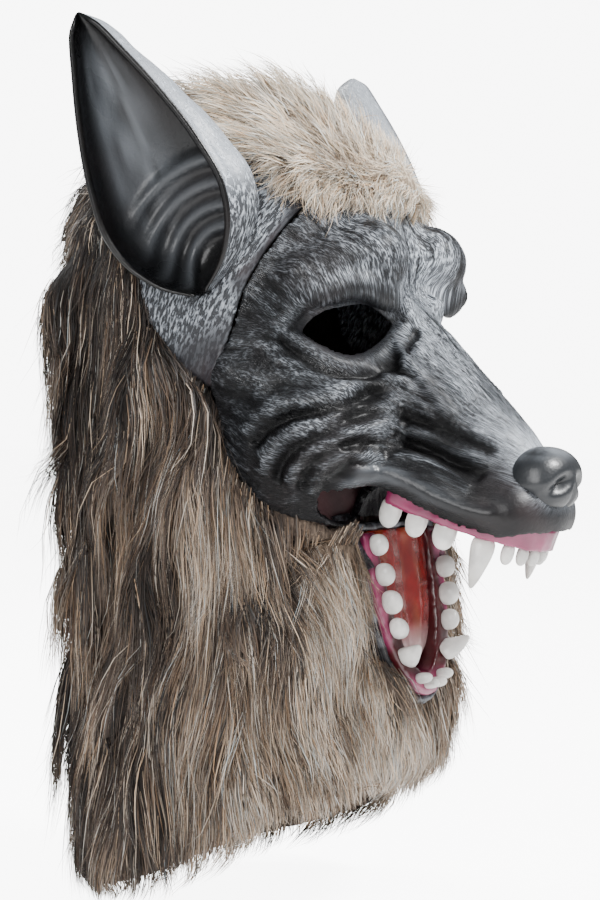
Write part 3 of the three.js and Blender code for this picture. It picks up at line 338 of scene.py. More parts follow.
def bar(p, ends):
    start, end = (
        np.array([row["x"] * HALF_WIDTH, -row["reach"] * SNOUT_REACH, row["z"] * HEAD_HEIGHT])
        for row in ends
    )
    axis = end - start
    share = np.clip((p - start) @ axis / (axis @ axis), 0, 1)
    nearest = start + share[:, None] * axis
    radius = (ends[0]["r"] + share * (ends[1]["r"] - ends[0]["r"])) * HALF_WIDTH
    return np.linalg.norm(p - nearest, axis=1) - radius


def neck(p):
    share = p[:, 2] / HEM_DROP
    levels = [row["z"] for row in NECK_LEVELS]
    width, back, front = (
        np.interp(share, levels, [row[key] for row in NECK_LEVELS])
        for key in ("width", "back", "front")
    )
    width = width * HALF_WIDTH
    depth = np.where(p[:, 1] > 0, back, front) * HALF_DEPTH
    around = (np.hypot(p[:, 0] / width, p[:, 1] / depth) - 1) * np.minimum(width, depth)
    return np.maximum(around, p[:, 2] - CRANIUM_CENTRE[2])


def head_form(points):
    """The distance of points outside the latex and the cloth, negative inside."""
    p = points.copy()
    p[:, 0] = np.abs(p[:, 0])
    d = ball(p, CRANIUM_CENTRE, CRANIUM_RADII)
    d = smooth_union(d, row_ball(p, CHEEK), FORM_BLEND)
    d = smooth_union(d, bar(p, MUZZLE), FORM_BLEND)
    d = smooth_union(d, neck(p), RIDGE_BLEND)
    d = smooth_union(d, row_ball(p, FRONT_LIP), RIDGE_BLEND)
    for ends in RIDGES.values():
        d = smooth_union(d, bar(p, ends), RIDGE_BLEND)
    return -smooth_union(-d, row_ball(p, SOCKET), RIDGE_BLEND)


def outwards(points):
    reach = 0.5
    slope = np.stack([
        head_form(points + reach * axis) - head_form(points - reach * axis) for axis in np.eye(3)
    ], axis=1)
    return slope / np.maximum(np.linalg.norm(slope, axis=1, keepdims=True), 1e-9)


def surface_along(centres, directions):
    """Where rays from inside the form leave it."""
    inside = np.zeros(len(directions))
    outside = np.full(len(directions), 2.0 * SNOUT_REACH)
    halvings = 26
    for _ in range(halvings):
        middle = (inside + outside) / 2
        is_in = head_form(centres + directions * middle[:, None]) < 0
        inside = np.where(is_in, middle, inside)
        outside = np.where(is_in, outside, middle)
    return centres + directions * inside[:, None]


def noise(points, cell, seed):
    """Smooth noise from -1 to 1 on a lattice of cells, which may differ along x, y and z."""
    q = np.asarray(points, float) / cell
    base = np.floor(q).astype(np.int64)
    t = q - base
    t = t * t * (3 - 2 * t)
    total = np.zeros(len(q))
    for corner in itertools.product((0, 1), repeat=3):
        weight = np.prod(np.where(corner, t, 1 - t), axis=1)
        x, y, z = (base + np.array(corner)).T
        mixed = (x * 73856093) ^ (y * 19349663) ^ (z * 83492791) ^ (seed * 2654435761)
        mixed = ((mixed ^ (mixed >> 13)) * 1274126177) & 0xFFFFFFFF
        mixed = ((mixed ^ (mixed >> 16)) * 668265263) & 0xFFFFFFFF
        total += weight * ((mixed >> 8 & 0xFFFF) / 32767.5 - 1)
    return total


def smoothstep(low, high, x):
    t = np.clip((x - low) / (high - low), 0, 1)
    return t * t * (3 - 2 * t)


def bump_at(distance, width):
    return np.exp(-((distance / width) ** 2))


def path_place(points, path):
    """The distance of flat points from a path, and the share of the path that lies nearest."""
    lengths = np.linalg.norm(np.diff(path, axis=0), axis=1)
    run = np.concatenate([[0], np.cumsum(lengths)])
    best, place = np.full(len(points), 1e9), np.zeros(len(points))
    for k, (a, b) in enumerate(zip(path[:-1], path[1:])):
        axis = b - a
        share = np.clip((points - a) @ axis / max(axis @ axis, 1e-9), 0, 1)
        distance = np.linalg.norm(points - a - share[:, None] * axis, axis=1)
        is_nearer = distance < best
        best = np.where(is_nearer, distance, best)
        place = np.where(is_nearer, run[k] + share * lengths[k], place)
    return best, place / run[-1]


def path_distance(points, path):
    return path_place(points, path)[0]


def rounded(path, passes=2):
    """Corner-cut copy of an open path."""
    for _ in range(passes):
        cut = [path[0]]
        for a, b in zip(path[:-1], path[1:]):
            cut += [a * 0.75 + b * 0.25, a * 0.25 + b * 0.75]
        path = np.array([*cut, path[-1]])
    return path


# Meshes


def deselect():
    if bpy.context.object and bpy.context.object.mode != "OBJECT":
        bpy.ops.object.mode_set(mode="OBJECT")
    bpy.ops.object.select_all(action="DESELECT")


def make_active(piece):
    deselect()
    piece.select_set(True)
    bpy.context.view_layer.objects.active = piece


def apply_modifier(piece, kind, **settings):
    modifier = piece.modifiers.new(kind.title(), kind)
    for key, value in settings.items():
        setattr(modifier, key, value)
    make_active(piece)
    bpy.ops.object.modifier_apply(modifier=modifier.name)


def new_piece(name, mesh):
    piece = bpy.data.objects.new(name, mesh)
    bpy.context.scene.collection.objects.link(piece)
    return piece


def copy_node(node, name):
    """A merged copy of a CAD node, which leaves the node as it is."""
    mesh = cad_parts[node].data.copy()
    mesh.materials.clear()
    bm = bmesh.new()
    bm.from_mesh(mesh)
    bmesh.ops.remove_doubles(bm, verts=bm.verts, dist=1e-6)
    bm.to_mesh(mesh)
    bm.free()
    return new_piece(name, mesh)


def remeshed(node, name, voxel):
    piece = copy_node(node, name)
    apply_modifier(piece, "REMESH", mode="VOXEL", voxel_size=voxel * MM)
    return piece


def points_of(piece):
    flat = np.zeros(len(piece.data.vertices) * 3)
    piece.data.vertices.foreach_get("co", flat)
    return flat.reshape(-1, 3) / MM


def normals_of(piece):
    flat = np.zeros(len(piece.data.vertices) * 3, np.float32)
    piece.data.vertex_normals.foreach_get("vector", flat)
    return flat.reshape(-1, 3).astype(float)


def move_points(piece, points):
    piece.data.vertices.foreach_set("co", (points * MM).ravel())
    piece.data.update()


def store(piece, **attributes):
    """Keeps a value, a vector or a colour for each point, which the materials read."""
    kinds = {"flow": ("FLOAT_VECTOR", "vector"), "paint": ("FLOAT_COLOR", "color"),
             "hair_colour": ("FLOAT_COLOR", "color")}
    for name, values in attributes.items():
        kind, key = kinds.get(name, ("FLOAT", "value"))
        values = np.asarray(values, float)
        if key == "color":
            values = np.concatenate([values, np.ones((len(values), 1))], axis=1)
        made = piece.data.attributes.new(name, kind, "POINT")
        made.data.foreach_set(key, values.ravel())


def grid_piece(name, grid):
    """A mesh through rows of points, closed round each row and capped at both ends."""
    rows, columns = grid.shape[:2]
    points = grid.reshape(-1, 3)
    faces = []
    for i, j in itertools.product(range(rows - 1), range(columns)):
        k = (j + 1) % columns
        faces.append((i * columns + j, i * columns + k, (i + 1) * columns + k,
                      (i + 1) * columns + j))
    for row, turned in ((0, True), (rows - 1, False)):
        centre = len(points)
        points = np.concatenate([points, grid[row].mean(0, keepdims=True)])
        for j in range(columns):
            pair = (row * columns + j, row * columns + (j + 1) % columns)
            faces.append((centre, *(pair[::-1] if turned else pair)))
    mesh = bpy.data.meshes.new(name)
    mesh.from_pydata((points * MM).tolist(), [], faces)
    piece = new_piece(name, mesh)
    bm = bmesh.new()
    bm.from_mesh(mesh)
    bmesh.ops.recalc_face_normals(bm, faces=bm.faces)
    bm.to_mesh(mesh)
    bm.free()
    return piece


def finish_piece(piece, slot, material, *nodes):
    piece.data.materials.clear()
    piece.data.materials.append(material)
    piece.data.polygons.foreach_set("use_smooth", [True] * len(piece.data.polygons))
    piece.data.update()
    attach(piece, "root")
    if nodes:
        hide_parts(*nodes)


def side_name(side):
    return "left" if side > 0 else "right"


# Materials


def node(tree, kind, inputs=None, **settings):
    made = tree.nodes.new(kind)
    for key, value in settings.items():
        setattr(made, key, value)
    for key, value in (inputs or {}).items():
        if isinstance(value, bpy.types.NodeSocket):
            tree.links.new(value, made.inputs[key])
        else:
            made.inputs[key].default_value = value
    return made


def maths(tree, operation, a, b):
    return node(tree, "ShaderNodeMath", {0: a, 1: b}, operation=operation).outputs[0]


def spread(tree, value, low, high, to_low=0.0, to_high=1.0):
    inputs = {"Value": value, "From Min": low, "From Max": high, "To Min": to_low,
              "To Max": to_high}
    return node(tree, "ShaderNodeMapRange", inputs, interpolation_type="SMOOTHSTEP").outputs[0]


def blended(tree, share, a, b, mode="MIX"):
    made = node(tree, "ShaderNodeMix", data_type="RGBA", blend_type=mode)
    for socket, value in ((made.inputs[0], share), (made.inputs[6], a), (made.inputs[7], b)):
        if isinstance(value, bpy.types.NodeSocket):
            tree.links.new(value, socket)
        elif isinstance(value, tuple):
            socket.default_value = (*value, 1)
        else:
            socket.default_value = value
    return made.outputs[2]


def attribute(tree, name, output="Fac"):
    return node(tree, "ShaderNodeAttribute", attribute_name=name).outputs[output]


def new_group(name, inputs, output):
    """A node group with one value as its output, and the sockets at both its ends."""
    group = bpy.data.node_groups.new(name, "ShaderNodeTree")
    for label, kind in inputs.items():
        group.interface.new_socket(name=label, in_out="INPUT", socket_type=kind)
    group.interface.new_socket(name=output, in_out="OUTPUT", socket_type="NodeSocketFloat")
    entry = group.nodes.new("NodeGroupInput")
    out = group.nodes.new("NodeGroupOutput")
    return group, entry.outputs, out.inputs[output]


def surface_noise_group():
    """Noise in the object's own coordinates."""
    group, entry, value = new_group(
        "surface noise", {"Scale": "NodeSocketFloat", "Detail": "NodeSocketFloat"}, "Value")
    place = node(group, "ShaderNodeTexCoord").outputs["Object"]
    made = node(group, "ShaderNodeTexNoise", {
        "Vector": place, "Scale": entry["Scale"], "Detail": entry["Detail"]})
    group.links.new(made.outputs["Fac"], value)
    return group


def hair_stroke_group():
    """Short moulded strokes along a flow attribute, as a mask."""
    group, entry, mask = new_group(
        "moulded hair strokes", {"Flow": "NodeSocketVector"}, "Mask")
    coarse = node(group, "ShaderNodeTexNoise", {
        "Vector": entry["Flow"], "Scale": 1.0, "Detail": 2.0, "Roughness": 0.6})
    group.links.new(spread(group, coarse.outputs["Fac"], 0.36, 0.66), mask)
    return group


def surface_noise(tree, scale, detail=3.0):
    group = bpy.data.node_groups.get("surface noise") or surface_noise_group()
    inputs = {"Scale": scale, "Detail": detail}
    return node(tree, "ShaderNodeGroup", inputs, node_tree=group).outputs[0]


def new_material(name, **sockets):
    material = bpy.data.materials.new(name)
    material.use_nodes = True
    shader = material.node_tree.nodes["Principled BSDF"]
    for key, value in sockets.items():
        shader.inputs[key.replace("_", " ")].default_value = value
    return material, material.node_tree, shader


def colour_with(tree, shader, colour):
    tree.links.new(colour, shader.inputs["Base Color"])


def bump(tree, shader, height, distance):
    made = node(tree, "ShaderNodeBump", {"Height": height, "Distance": distance})
    tree.links.new(made.outputs[0], shader.inputs["Normal"])


def latex_material(sizes, colours):
    """Dark latex with moulded strokes and painted shade between them, silvered and highlighted where
    its attribute says.
    """
    material, tree, shader = new_material("painted latex", Coat_Roughness=0.3,
                                          Specular_IOR_Level=0.26)
    strokes = node(tree, "ShaderNodeGroup", {"Flow": attribute(tree, "flow", "Vector")},
                   node_tree=hair_stroke_group())
    relief = attribute(tree, "relief")
    smoothness = attribute(tree, "smoothness")
    mask = maths(tree, "MAXIMUM", strokes.outputs["Mask"], smoothness)
    patch = surface_noise(tree, 26.0)
    dark = blended(tree, spread(tree, patch, 0.42, 0.68), tuple(colours.latex_dark),
                   tuple(colours.latex_brown))
    tinted = blended(tree, 1.0, dark, attribute(tree, "paint", "Color"), "MULTIPLY")
    # Painted shade: near black in the gaps between the moulded strokes
    stroke_gap_shade = maths(tree, "MULTIPLY", relief, maths(tree, "SUBTRACT", 1.0, mask))
    streaked = blended(tree, stroke_gap_shade, tinted, (0.004, 0.004, 0.005))
    hits = maths(tree, "MULTIPLY", attribute(tree, "brushed"), spread(tree, mask, 0.2, 0.9, 0.1))
    silvered = blended(tree, maths(tree, "MINIMUM", hits, 1.0), streaked,
                       tuple(colours.latex_silver))
    colour_with(tree, shader, silvered)
    rough = spread(tree, patch, 0.3, 0.7, 0.36, 0.52)
    sheen = maths(tree, "MULTIPLY", smoothness, 0.12)
    tree.links.new(maths(tree, "SUBTRACT", rough, sheen), shader.inputs["Roughness"])
    tree.links.new(spread(tree, smoothness, 0, 1, 0.1, 0.22), shader.inputs["Coat Weight"])
    pores = maths(tree, "MULTIPLY", surface_noise(tree, 420.0, 2.0), 0.18)
    height = maths(tree, "ADD", maths(tree, "MULTIPLY", mask, relief), pores)
    bump(tree, shader, height, sizes.stroke_depth)
    return material


def mouth_material(colours):
    """Matt latex with streaks of a paler colour, for the back of the mouth."""
    material, tree, shader = new_material("dark mouth", Coat_Weight=0.0, Coat_Roughness=0.08,
                                          Roughness=0.75)
    streaks = spread(tree, surface_noise(tree, 40.0), 0.42, 0.7)
    colour_with(tree, shader, blended(tree, streaks, tuple(colours.mouth), (0.035, 0.006, 0.008)))
    bump(tree, shader, surface_noise(tree, 120.0), 0.0008)
    return material


def painted_material(name, roughness, coat, scale, bump_depth):
    """Takes its colour from the paint attribute, mottled a little."""
    material, tree, shader = new_material(name, Coat_Weight=coat, Coat_Roughness=0.1,
                                          Roughness=roughness)
    patch = spread(tree, surface_noise(tree, scale), 0.3, 0.75, 0.72, 1.12)
    grey = node(tree, "ShaderNodeCombineColor", {"Red": patch, "Green": patch, "Blue": patch})
    paint = attribute(tree, "paint", "Color")
    colour_with(tree, shader, blended(tree, 1.0, paint, grey.outputs[0], "MULTIPLY"))
    bump(tree, shader, surface_noise(tree, scale * 2.5), bump_depth)
    return material


def nose_material(colours):
    """Glossy pebbled latex, with a painted highlight where its attribute says."""
    material, tree, shader = new_material("glossy nose", Coat_Weight=0.35, Coat_Roughness=0.25,
                                          Roughness=0.42)
    place = node(tree, "ShaderNodeTexCoord").outputs["Object"]
    pebbles = node(tree, "ShaderNodeTexVoronoi", {"Vector": place, "Scale": 620.0})
    # Painted highlight on the nose, mottled by noise
    top_highlight = maths(tree, "MULTIPLY", attribute(tree, "brushed"),
                 spread(tree, surface_noise(tree, 90.0), 0.2, 0.8))
    colour_with(tree, shader, blended(tree, top_highlight, tuple(colours.nose),
                                      tuple(colours.latex_silver)))
    bump(tree, shader, pebbles.outputs["Distance"], 0.00008)
    return material


def strand_material():
    """Hair that takes its colour from each strand."""
    material, tree, shader = new_material("long fur", Roughness=0.55, Specular_IOR_Level=0.35)
    colour_with(tree, shader, attribute(tree, "hair_colour", "Color"))
    return material


def coat_material():
    """The dense fur under the long strands."""
    material, tree, shader = new_material("under fur", Roughness=0.9)
    place = node(tree, "ShaderNodeTexCoord").outputs["Object"]
    stretched = node(tree, "ShaderNodeMapping", {"Vector": place, "Scale": (1.0, 1.0, 0.12)})
    streaks = node(tree, "ShaderNodeTexNoise", {
        "Vector": stretched.outputs[0], "Scale": 700.0, "Detail": 3.0}).outputs["Fac"]
    paint = attribute(tree, "paint", "Color")
    under = blended(tree, 1.0, paint, (0.35, 0.32, 0.3), "MULTIPLY")
    colour_with(tree, shader, blended(tree, spread(tree, streaks, 0.35, 0.7), under, paint))
    bump(tree, shader, streaks, 0.0015)
    return material


# The latex face


def eye_frame():
    """The middle of the right eye hole, and its directions across and up."""
    facing = np.array([-math.sin(EYE_TURN), -math.cos(EYE_TURN), 0])
    flat = np.cross([0, 0, 1], facing)
    across = flat * math.cos(EYE_TILT) + np.cross(facing, flat) * math.sin(EYE_TILT)
    sight = np.array([[-EYE_X, -HALF_DEPTH + EYE_X / 2, 0.0]])
    sight /= np.linalg.norm(sight)
    origin = surface_along(np.array([[0.0, 0.0, EYE_Z]]), sight)[0]
    return origin, across, np.cross(facing, across)


def eye_distance(points):
    """The distance from the edge of the nearer eye hole, negative in the hole, and the place of
    each point across and up from the middle of that hole."""
    p = points.copy()
    p[:, 0] = -np.abs(p[:, 0])
    origin, across, upwards = eye_frame()
    flat = np.stack([(p - origin) @ across, (p - origin) @ upwards], axis=1)
    half = EYE_WIDTH / 2
    along = np.linspace(-half, half, 25)
    lid = EYE_HEIGHT * (1 - (along / half) ** 2) / 2
    edge = np.stack([np.concatenate([along, along[::-1]]), np.concatenate([lid, -lid])], axis=1)
    distance = path_distance(flat, edge)
    top = EYE_HEIGHT * (1 - np.clip(flat[:, 0] / half, -1, 1) ** 2) / 2
    return np.where(np.abs(flat[:, 1]) < top, -distance, distance), flat


def fold_path(fold):
    return rounded(np.array(fold["path"])) * SIDE_SCALE


def fold_heights(points):
    """The height of the folds, each tapered at its ends and faded out at the middle of the face."""
    height = np.zeros(len(points))
    wobble = 1 + 0.35 * noise(points, 14, 5)
    fades = smoothstep(4, 16, np.abs(points[:, 0]))
    for fold in FOLDS.values():
        distance, share = path_place(points[:, 1:], fold_path(fold))
        width = fold["width"]
        taper = smoothstep(0, 0.1, share) * smoothstep(1, 0.9, share)
        tall = fold["height"] * wobble * fades * taper
        height += tall * bump_at(distance, width)
        if fold["height"] < 0:
            height -= 0.5 * tall * bump_at(distance - 2.1 * width, width * 1.1)
    return height


def face_relief(points):
    """The height of folds, lids and lips over the smooth form, the same on both sides."""
    height = fold_heights(points)
    distance, flat = eye_distance(points)
    lower = smoothstep(4, -4, flat[:, 1])
    upper = 1 - lower
    inner = smoothstep(-26, 4, flat[:, 0])
    for lid in LIDS:
        tall = lid["lower"] * lower + (lid["upper"] + lid["inner"] * inner) * upper
        height += tall * bump_at(distance - lid["at"], lid["width"])
    return height


def fold_share(name, points):
    """How near points are to a fold, from 0 to 1 on its line."""
    distance = path_distance(points[:, 1:], fold_path(FOLDS[name]))
    return bump_at(distance, FOLDS[name]["width"] * 1.3)


def flow_of(points):
    """Coordinates across and along the moulded hair, which runs back from the nose."""
    centre = np.array([0, -0.1 * HALF_DEPTH, -0.58 * HEAD_HEIGHT])
    axis = np.array([0, -SNOUT_REACH, NOSE_LEVEL]) - centre
    axis /= np.linalg.norm(axis)
    lifted = np.cross([1, 0, 0], axis)
    ray = points - centre
    reach = np.linalg.norm(ray, axis=1)
    back = np.arccos(np.clip(ray @ axis / reach, -1, 1)) * BACK_REACH
    turn = np.arctan2(ray @ lifted, np.abs(ray[:, 0]))
    across = turn * ROUND_REACH + 5 * noise(points, 24, 11)
    return np.stack([across / STROKE_WIDTH, back / STROKE_LENGTH, np.sign(points[:, 0]) * 7],
                    axis=1)


def face_paint(points, height):
    """Where silver paint goes: the bridge, the brows, what stands up, and a painted highlight on the
    bridge.
    """
    ahead, level = -points[:, 1] / SNOUT_REACH, points[:, 2] / HEAD_HEIGHT
    across = np.abs(points[:, 0])
    distance, flat = eye_distance(points)
    bridge_line = np.interp(ahead, [0.45, 0.6, 0.785, 0.9], [-0.4, -0.53, -0.69, -0.76])
    areas = {
        # The bright bridge is a painted highlight as well as silver paint
        "bridge": smoothstep(30, 9, across) * smoothstep(-0.15, -0.03, level - bridge_line),
        "brow": smoothstep(-0.46, -0.34, level) * smoothstep(74, 34, across),
        "forehead": smoothstep(-0.42, -0.3, level),
        "under_eye": bump_at(distance - 17, 8) * smoothstep(2, -6, flat[:, 1]),
        "cheek": smoothstep(0.6, 0.45, ahead) * smoothstep(-0.84, -0.66, level),
        "raised": smoothstep(0.2, 2.6, height) * smoothstep(-0.93, -0.75, level),
    }
    brushed = sum(SILVER_AND_HIGHLIGHT[name] * area for name, area in areas.items())
    brushed *= 0.85 + 0.6 * noise(points, 18, 21)
    brushed *= 0.05 + 0.95 * smoothstep(-1.2, 0.6, height)
    # Painted shade: little silver on the lid band round the eye hole, and a wider band kept dark
    # above it, under the brow
    lid = np.maximum(bump_at(distance, 6.5), bump_at(distance - 5, 5) * (flat[:, 1] > 0))
    return np.clip(brushed * (1 - 0.92 * lid), 0, 2)


def fit_to_form(points, normals):
    """Points moved onto the outer or inner face of the latex, and the depth each is moved to,
    from 0 outside to -WALL inside."""
    facing = np.einsum("ij,ij->i", normals, outwards(points))
    depth = head_form(points)
    target = np.where(facing > 0.35, 0.0, np.where(facing < -0.35, -WALL, depth))
    target = np.clip(target, -WALL, 0)
    for _ in range(2):
        points = points - outwards(points) * (head_form(points) - target)[:, None]
    return points, target


def build_face(sizes, material):
    """The moulded face: its folds, its lids and lips, and the strokes between them."""
    piece = remeshed("face_shell", "latex_face", sizes.face_cell)
    points, target = fit_to_form(points_of(piece), normals_of(piece))
    height = face_relief(points)
    flow = flow_of(points)
    lip = fold_share("lip", points)
    bare = bump_at(eye_distance(points)[0], 7) + smoothstep(0.72, 0.9, -points[:, 1] / SNOUT_REACH)
    relief = np.clip(1 - bare - lip, 0, 1)
    strokes = noise(flow * np.array([0.3, 0.42, 1]), 1, 3)
    outside = smoothstep(-1.6, -0.6, target)
    moved = height + outside * relief * (0.5 * strokes + 0.3)
    points += outwards(points) * moved[:, None]
    move_points(piece, points)
    brushed = face_paint(points, height + 1.4 * strokes * relief)
    # Painted shade: the paint darkens the grooves of the folds and the gaps between strokes; the lip
    # is darker latex of its own
    groove_shade_and_dark_lip = 0.85 * smoothstep(0.5, -2.0, height) + 0.35 * relief * smoothstep(0.2, -0.6, strokes)
    groove_shade_and_dark_lip = np.clip(groove_shade_and_dark_lip + 0.5 * lip, 0, 0.95)
    store(piece, flow=flow, relief=relief * outside * 0.9,
          brushed=brushed * outside * (1 - 0.9 * lip), smoothness=lip,
          paint=np.tile((1 - groove_shade_and_dark_lip)[:, None], 3))
    finish_piece(piece, "latex_grey", material, "face_shell")


# The ears


def ear_size(key, along):
    """A smooth curve through a column of EAR_SECTIONS, in millimetres."""
    known = np.array([row["along"] for row in EAR_SECTIONS])
    values = np.array([row[key] for row in EAR_SECTIONS])
    slopes = np.gradient(values, known)
    i = np.clip(np.searchsorted(known, along, side="right") - 1, 0, len(known) - 2)
    run = known[i + 1] - known[i]
    t = (along - known[i]) / run
    a = (1 + 2 * t) * (1 - t) ** 2 * values[i] + t * (1 - t) ** 2 * run * slopes[i]
    b = t * t * (3 - 2 * t) * values[i + 1] + t * t * (t - 1) * run * slopes[i + 1]
    return (a + b) * EAR_SCALES[key]


def ear_foot(side):
    return np.array([side * EAR_FOOT[0], EAR_FOOT[1], EAR_FOOT[2]], float)


def ear_axes(side):
    """The directions up the ear, out of its cup and forward across it."""
    upwards = np.array([side * math.tan(EAR_LEAN_OUT), math.tan(EAR_LEAN_BACK), 1.0])
    upwards /= np.linalg.norm(upwards)
    opening = np.array([side * math.sin(EAR_TURN), -math.cos(EAR_TURN), 0])
    opening -= upwards * (opening @ upwards)
    opening /= np.linalg.norm(opening)
    forward = np.cross(upwards, opening) * -side
    return upwards, opening, forward


def ear_ring(along, width, depth, flare):
    """A ring round the ear's wall: the back, the rear rim, the cup and the front rim. Gives each
    point's place forward and out of the cup, and how strongly a rib stands there."""
    angle = np.linspace(0, math.pi, EAR_TURNS)
    swell = np.where(angle < math.pi / 2, np.sin(2 * angle), 0)
    wall = min(EAR_WALL, width * 0.45, depth * 0.45)
    bead = wall * 0.75
    outer_x = width * np.cos(angle) + flare * swell
    outer_out = -depth * np.sin(angle)
    inner_x = (width - wall) * np.cos(angle) + flare * (width - wall) / width * swell
    inner_out = -(depth - wall) * np.sin(angle)
    around = np.hypot(inner_x - RIB_CENTRE["forward"], (along - RIB_CENTRE["along"]) * EAR_LENGTH)
    ribs = sum(bump_at(around - rib, RIB_HALF_WIDTH) for rib in EAR_RIBS)
    ribs = ribs * np.sin(angle) ** 0.4 * smoothstep(-29, -20, inner_x)
    inwards = np.stack([-np.cos(angle) * depth, np.sin(angle) * width])
    inwards /= np.linalg.norm(inwards, axis=0)
    inner_x = inner_x + RIB_HEIGHT * ribs * inwards[0]
    inner_out = inner_out + RIB_HEIGHT * ribs * inwards[1]
    rear = [-width - 0.2, -width + wall / 2, -width + wall]
    front = [width - wall, width - wall / 2, width + 0.2]
    forward = np.concatenate([outer_x, rear, inner_x[::-1], front])
    out = np.concatenate([outer_out, [bead * 1.2, bead * 2.0, bead * 1.2], inner_out[::-1],
                          [bead * 0.9, bead * 1.2, bead * 0.9]])
    return forward, out, np.concatenate([np.zeros(EAR_TURNS + 3), ribs[::-1], np.zeros(3)])


def build_ear(side, material):
    upwards, opening, forward = ear_axes(side)
    along = 0.5 - 0.5 * np.cos(np.linspace(0.02, 1, EAR_ROWS) * math.pi)
    tip = np.sqrt(np.clip(1 - np.clip((along - 0.93) / 0.07, 0, 1) ** 2, 0.01, 1))
    width, depth, flare = (ear_size(key, along) * tip for key in ("width", "depth", "flare"))
    grid, ribs = [], []
    for i in range(EAR_ROWS):
        across, out, ribbed = ear_ring(along[i], width[i], depth[i], flare[i])
        centre = ear_foot(side) + upwards * along[i] * EAR_LENGTH
        grid.append(centre + across[:, None] * forward + out[:, None] * opening)
        ribs.append(ribbed)
    grid = np.array(grid)
    piece = grid_piece(f"ear_cup_{side_name(side)}", grid)
    paint_ear(piece, side, np.repeat(along, grid.shape[1]), np.array(ribs).ravel())
    finish_piece(piece, "latex_grey", material, f"ear_{side_name(side)}")


def paint_ear(piece, side, up, ribs):
    """Moulds strokes on the back of the ear, and stores what its material reads."""
    angle = np.cos(np.linspace(0, math.pi, EAR_TURNS))
    zone = np.concatenate([np.zeros(EAR_TURNS), [1] * 3, np.full(EAR_TURNS, 2), [1] * 3])
    share = np.concatenate([angle, [-1] * 3, angle[::-1], [1] * 3])
    column = np.tile(np.arange(len(zone)), EAR_ROWS)
    zone, share = np.tile(zone, EAR_ROWS), np.tile(share, EAR_ROWS)
    outside, inside = (zone == 0).astype(float), (zone == 2).astype(float)
    flow = np.stack([column * 1.9, up * EAR_LENGTH / 4, np.full(len(up), side * 5.0)], axis=1)
    strokes = noise(flow * np.array([0.3, 0.4, 1]), 1, 9) * outside
    points, normals = points_of(piece), normals_of(piece)
    points[:len(up)] += normals[:len(up)] * (0.5 * strokes)[:, None]
    move_points(piece, points)
    # Painted sheen: a pale streak along the rear of the cup, and painted highlights on the crests of
    # the ribs
    painted_sheen = inside * smoothstep(0.1, 0.45, up) * smoothstep(0.97, 0.8, up)
    painted_sheen = painted_sheen * smoothstep(0.5, -0.3, share) * smoothstep(-1.0, -0.75, share)
    painted_sheen = painted_sheen * (0.75 + 0.5 * noise(np.stack([share * 8, up * 9, up * 0], axis=1), 1, 17))
    low_down = smoothstep(0.35, 0.12, up)
    front = smoothstep(-0.2, 0.5, share) * outside
    brushed = outside * (0.3 + 0.65 * front) * (1 - 0.5 * low_down)
    brushed = brushed + 0.15 * painted_sheen * (1 - ribs * inside) + 0.1 * (ribs * inside) ** 2
    tint = np.where(zone == 1, 0.2, 0.25 + 0.75 * outside)
    stored = {
        "flow": flow,
        "relief": outside * 0.9,
        "brushed": brushed,
        "smoothness": np.where(zone == 0, (1 - low_down) * 0.55, 1),
        "paint": np.tile(tint[:, None], 3),
    }
    caps = len(points) - len(up)
    store(piece, **{name: np.concatenate([values, np.repeat(values[-1:], caps, axis=0)])
                    for name, values in stored.items()})


def ear_place(points, side):
    """Places in the ear's own directions: along it, forward across it, and out of its cup."""
    upwards, opening, forward = ear_axes(side)
    ray = points - ear_foot(side)
    return ray @ upwards / EAR_LENGTH, ray @ forward, ray @ opening


def ear_depth(points, side):
    """How far points lie in front of the back of the ear's cup, below 0 where they are clear."""
    along, across, out = ear_place(points, side)
    held = np.clip(along, 0, 1)
    width, depth, flare = (ear_size(key, held) for key in ("width", "depth", "flare"))
    share = across / np.where(across > 0, width + 0.55 * flare, width)
    back = -depth * np.sqrt(np.clip(1 - share**2, 0, 1))
    is_beside = (np.abs(share) < 1) & (along > 0) & (along < 1)
    return np.where(is_beside, out - back, -1.0)


def panel_edge():
    """Evenly spaced places along the edge of the side panel, seen from the side."""
    corners = [(row["y"] * (SNOUT_REACH if row["y"] < 0 else HALF_DEPTH), row["z"] * HEAD_HEIGHT)
               for row in PANEL_EDGE]
    closed = np.array([*corners, corners[0]], float)
    run = np.concatenate([[0], np.cumsum(np.linalg.norm(np.diff(closed, axis=0), axis=1))])
    at = np.linspace(0, run[-1], PANEL_TURNS, endpoint=False)
    return np.stack([np.interp(at, run, closed[:, k]) for k in (0, 1)], axis=1)


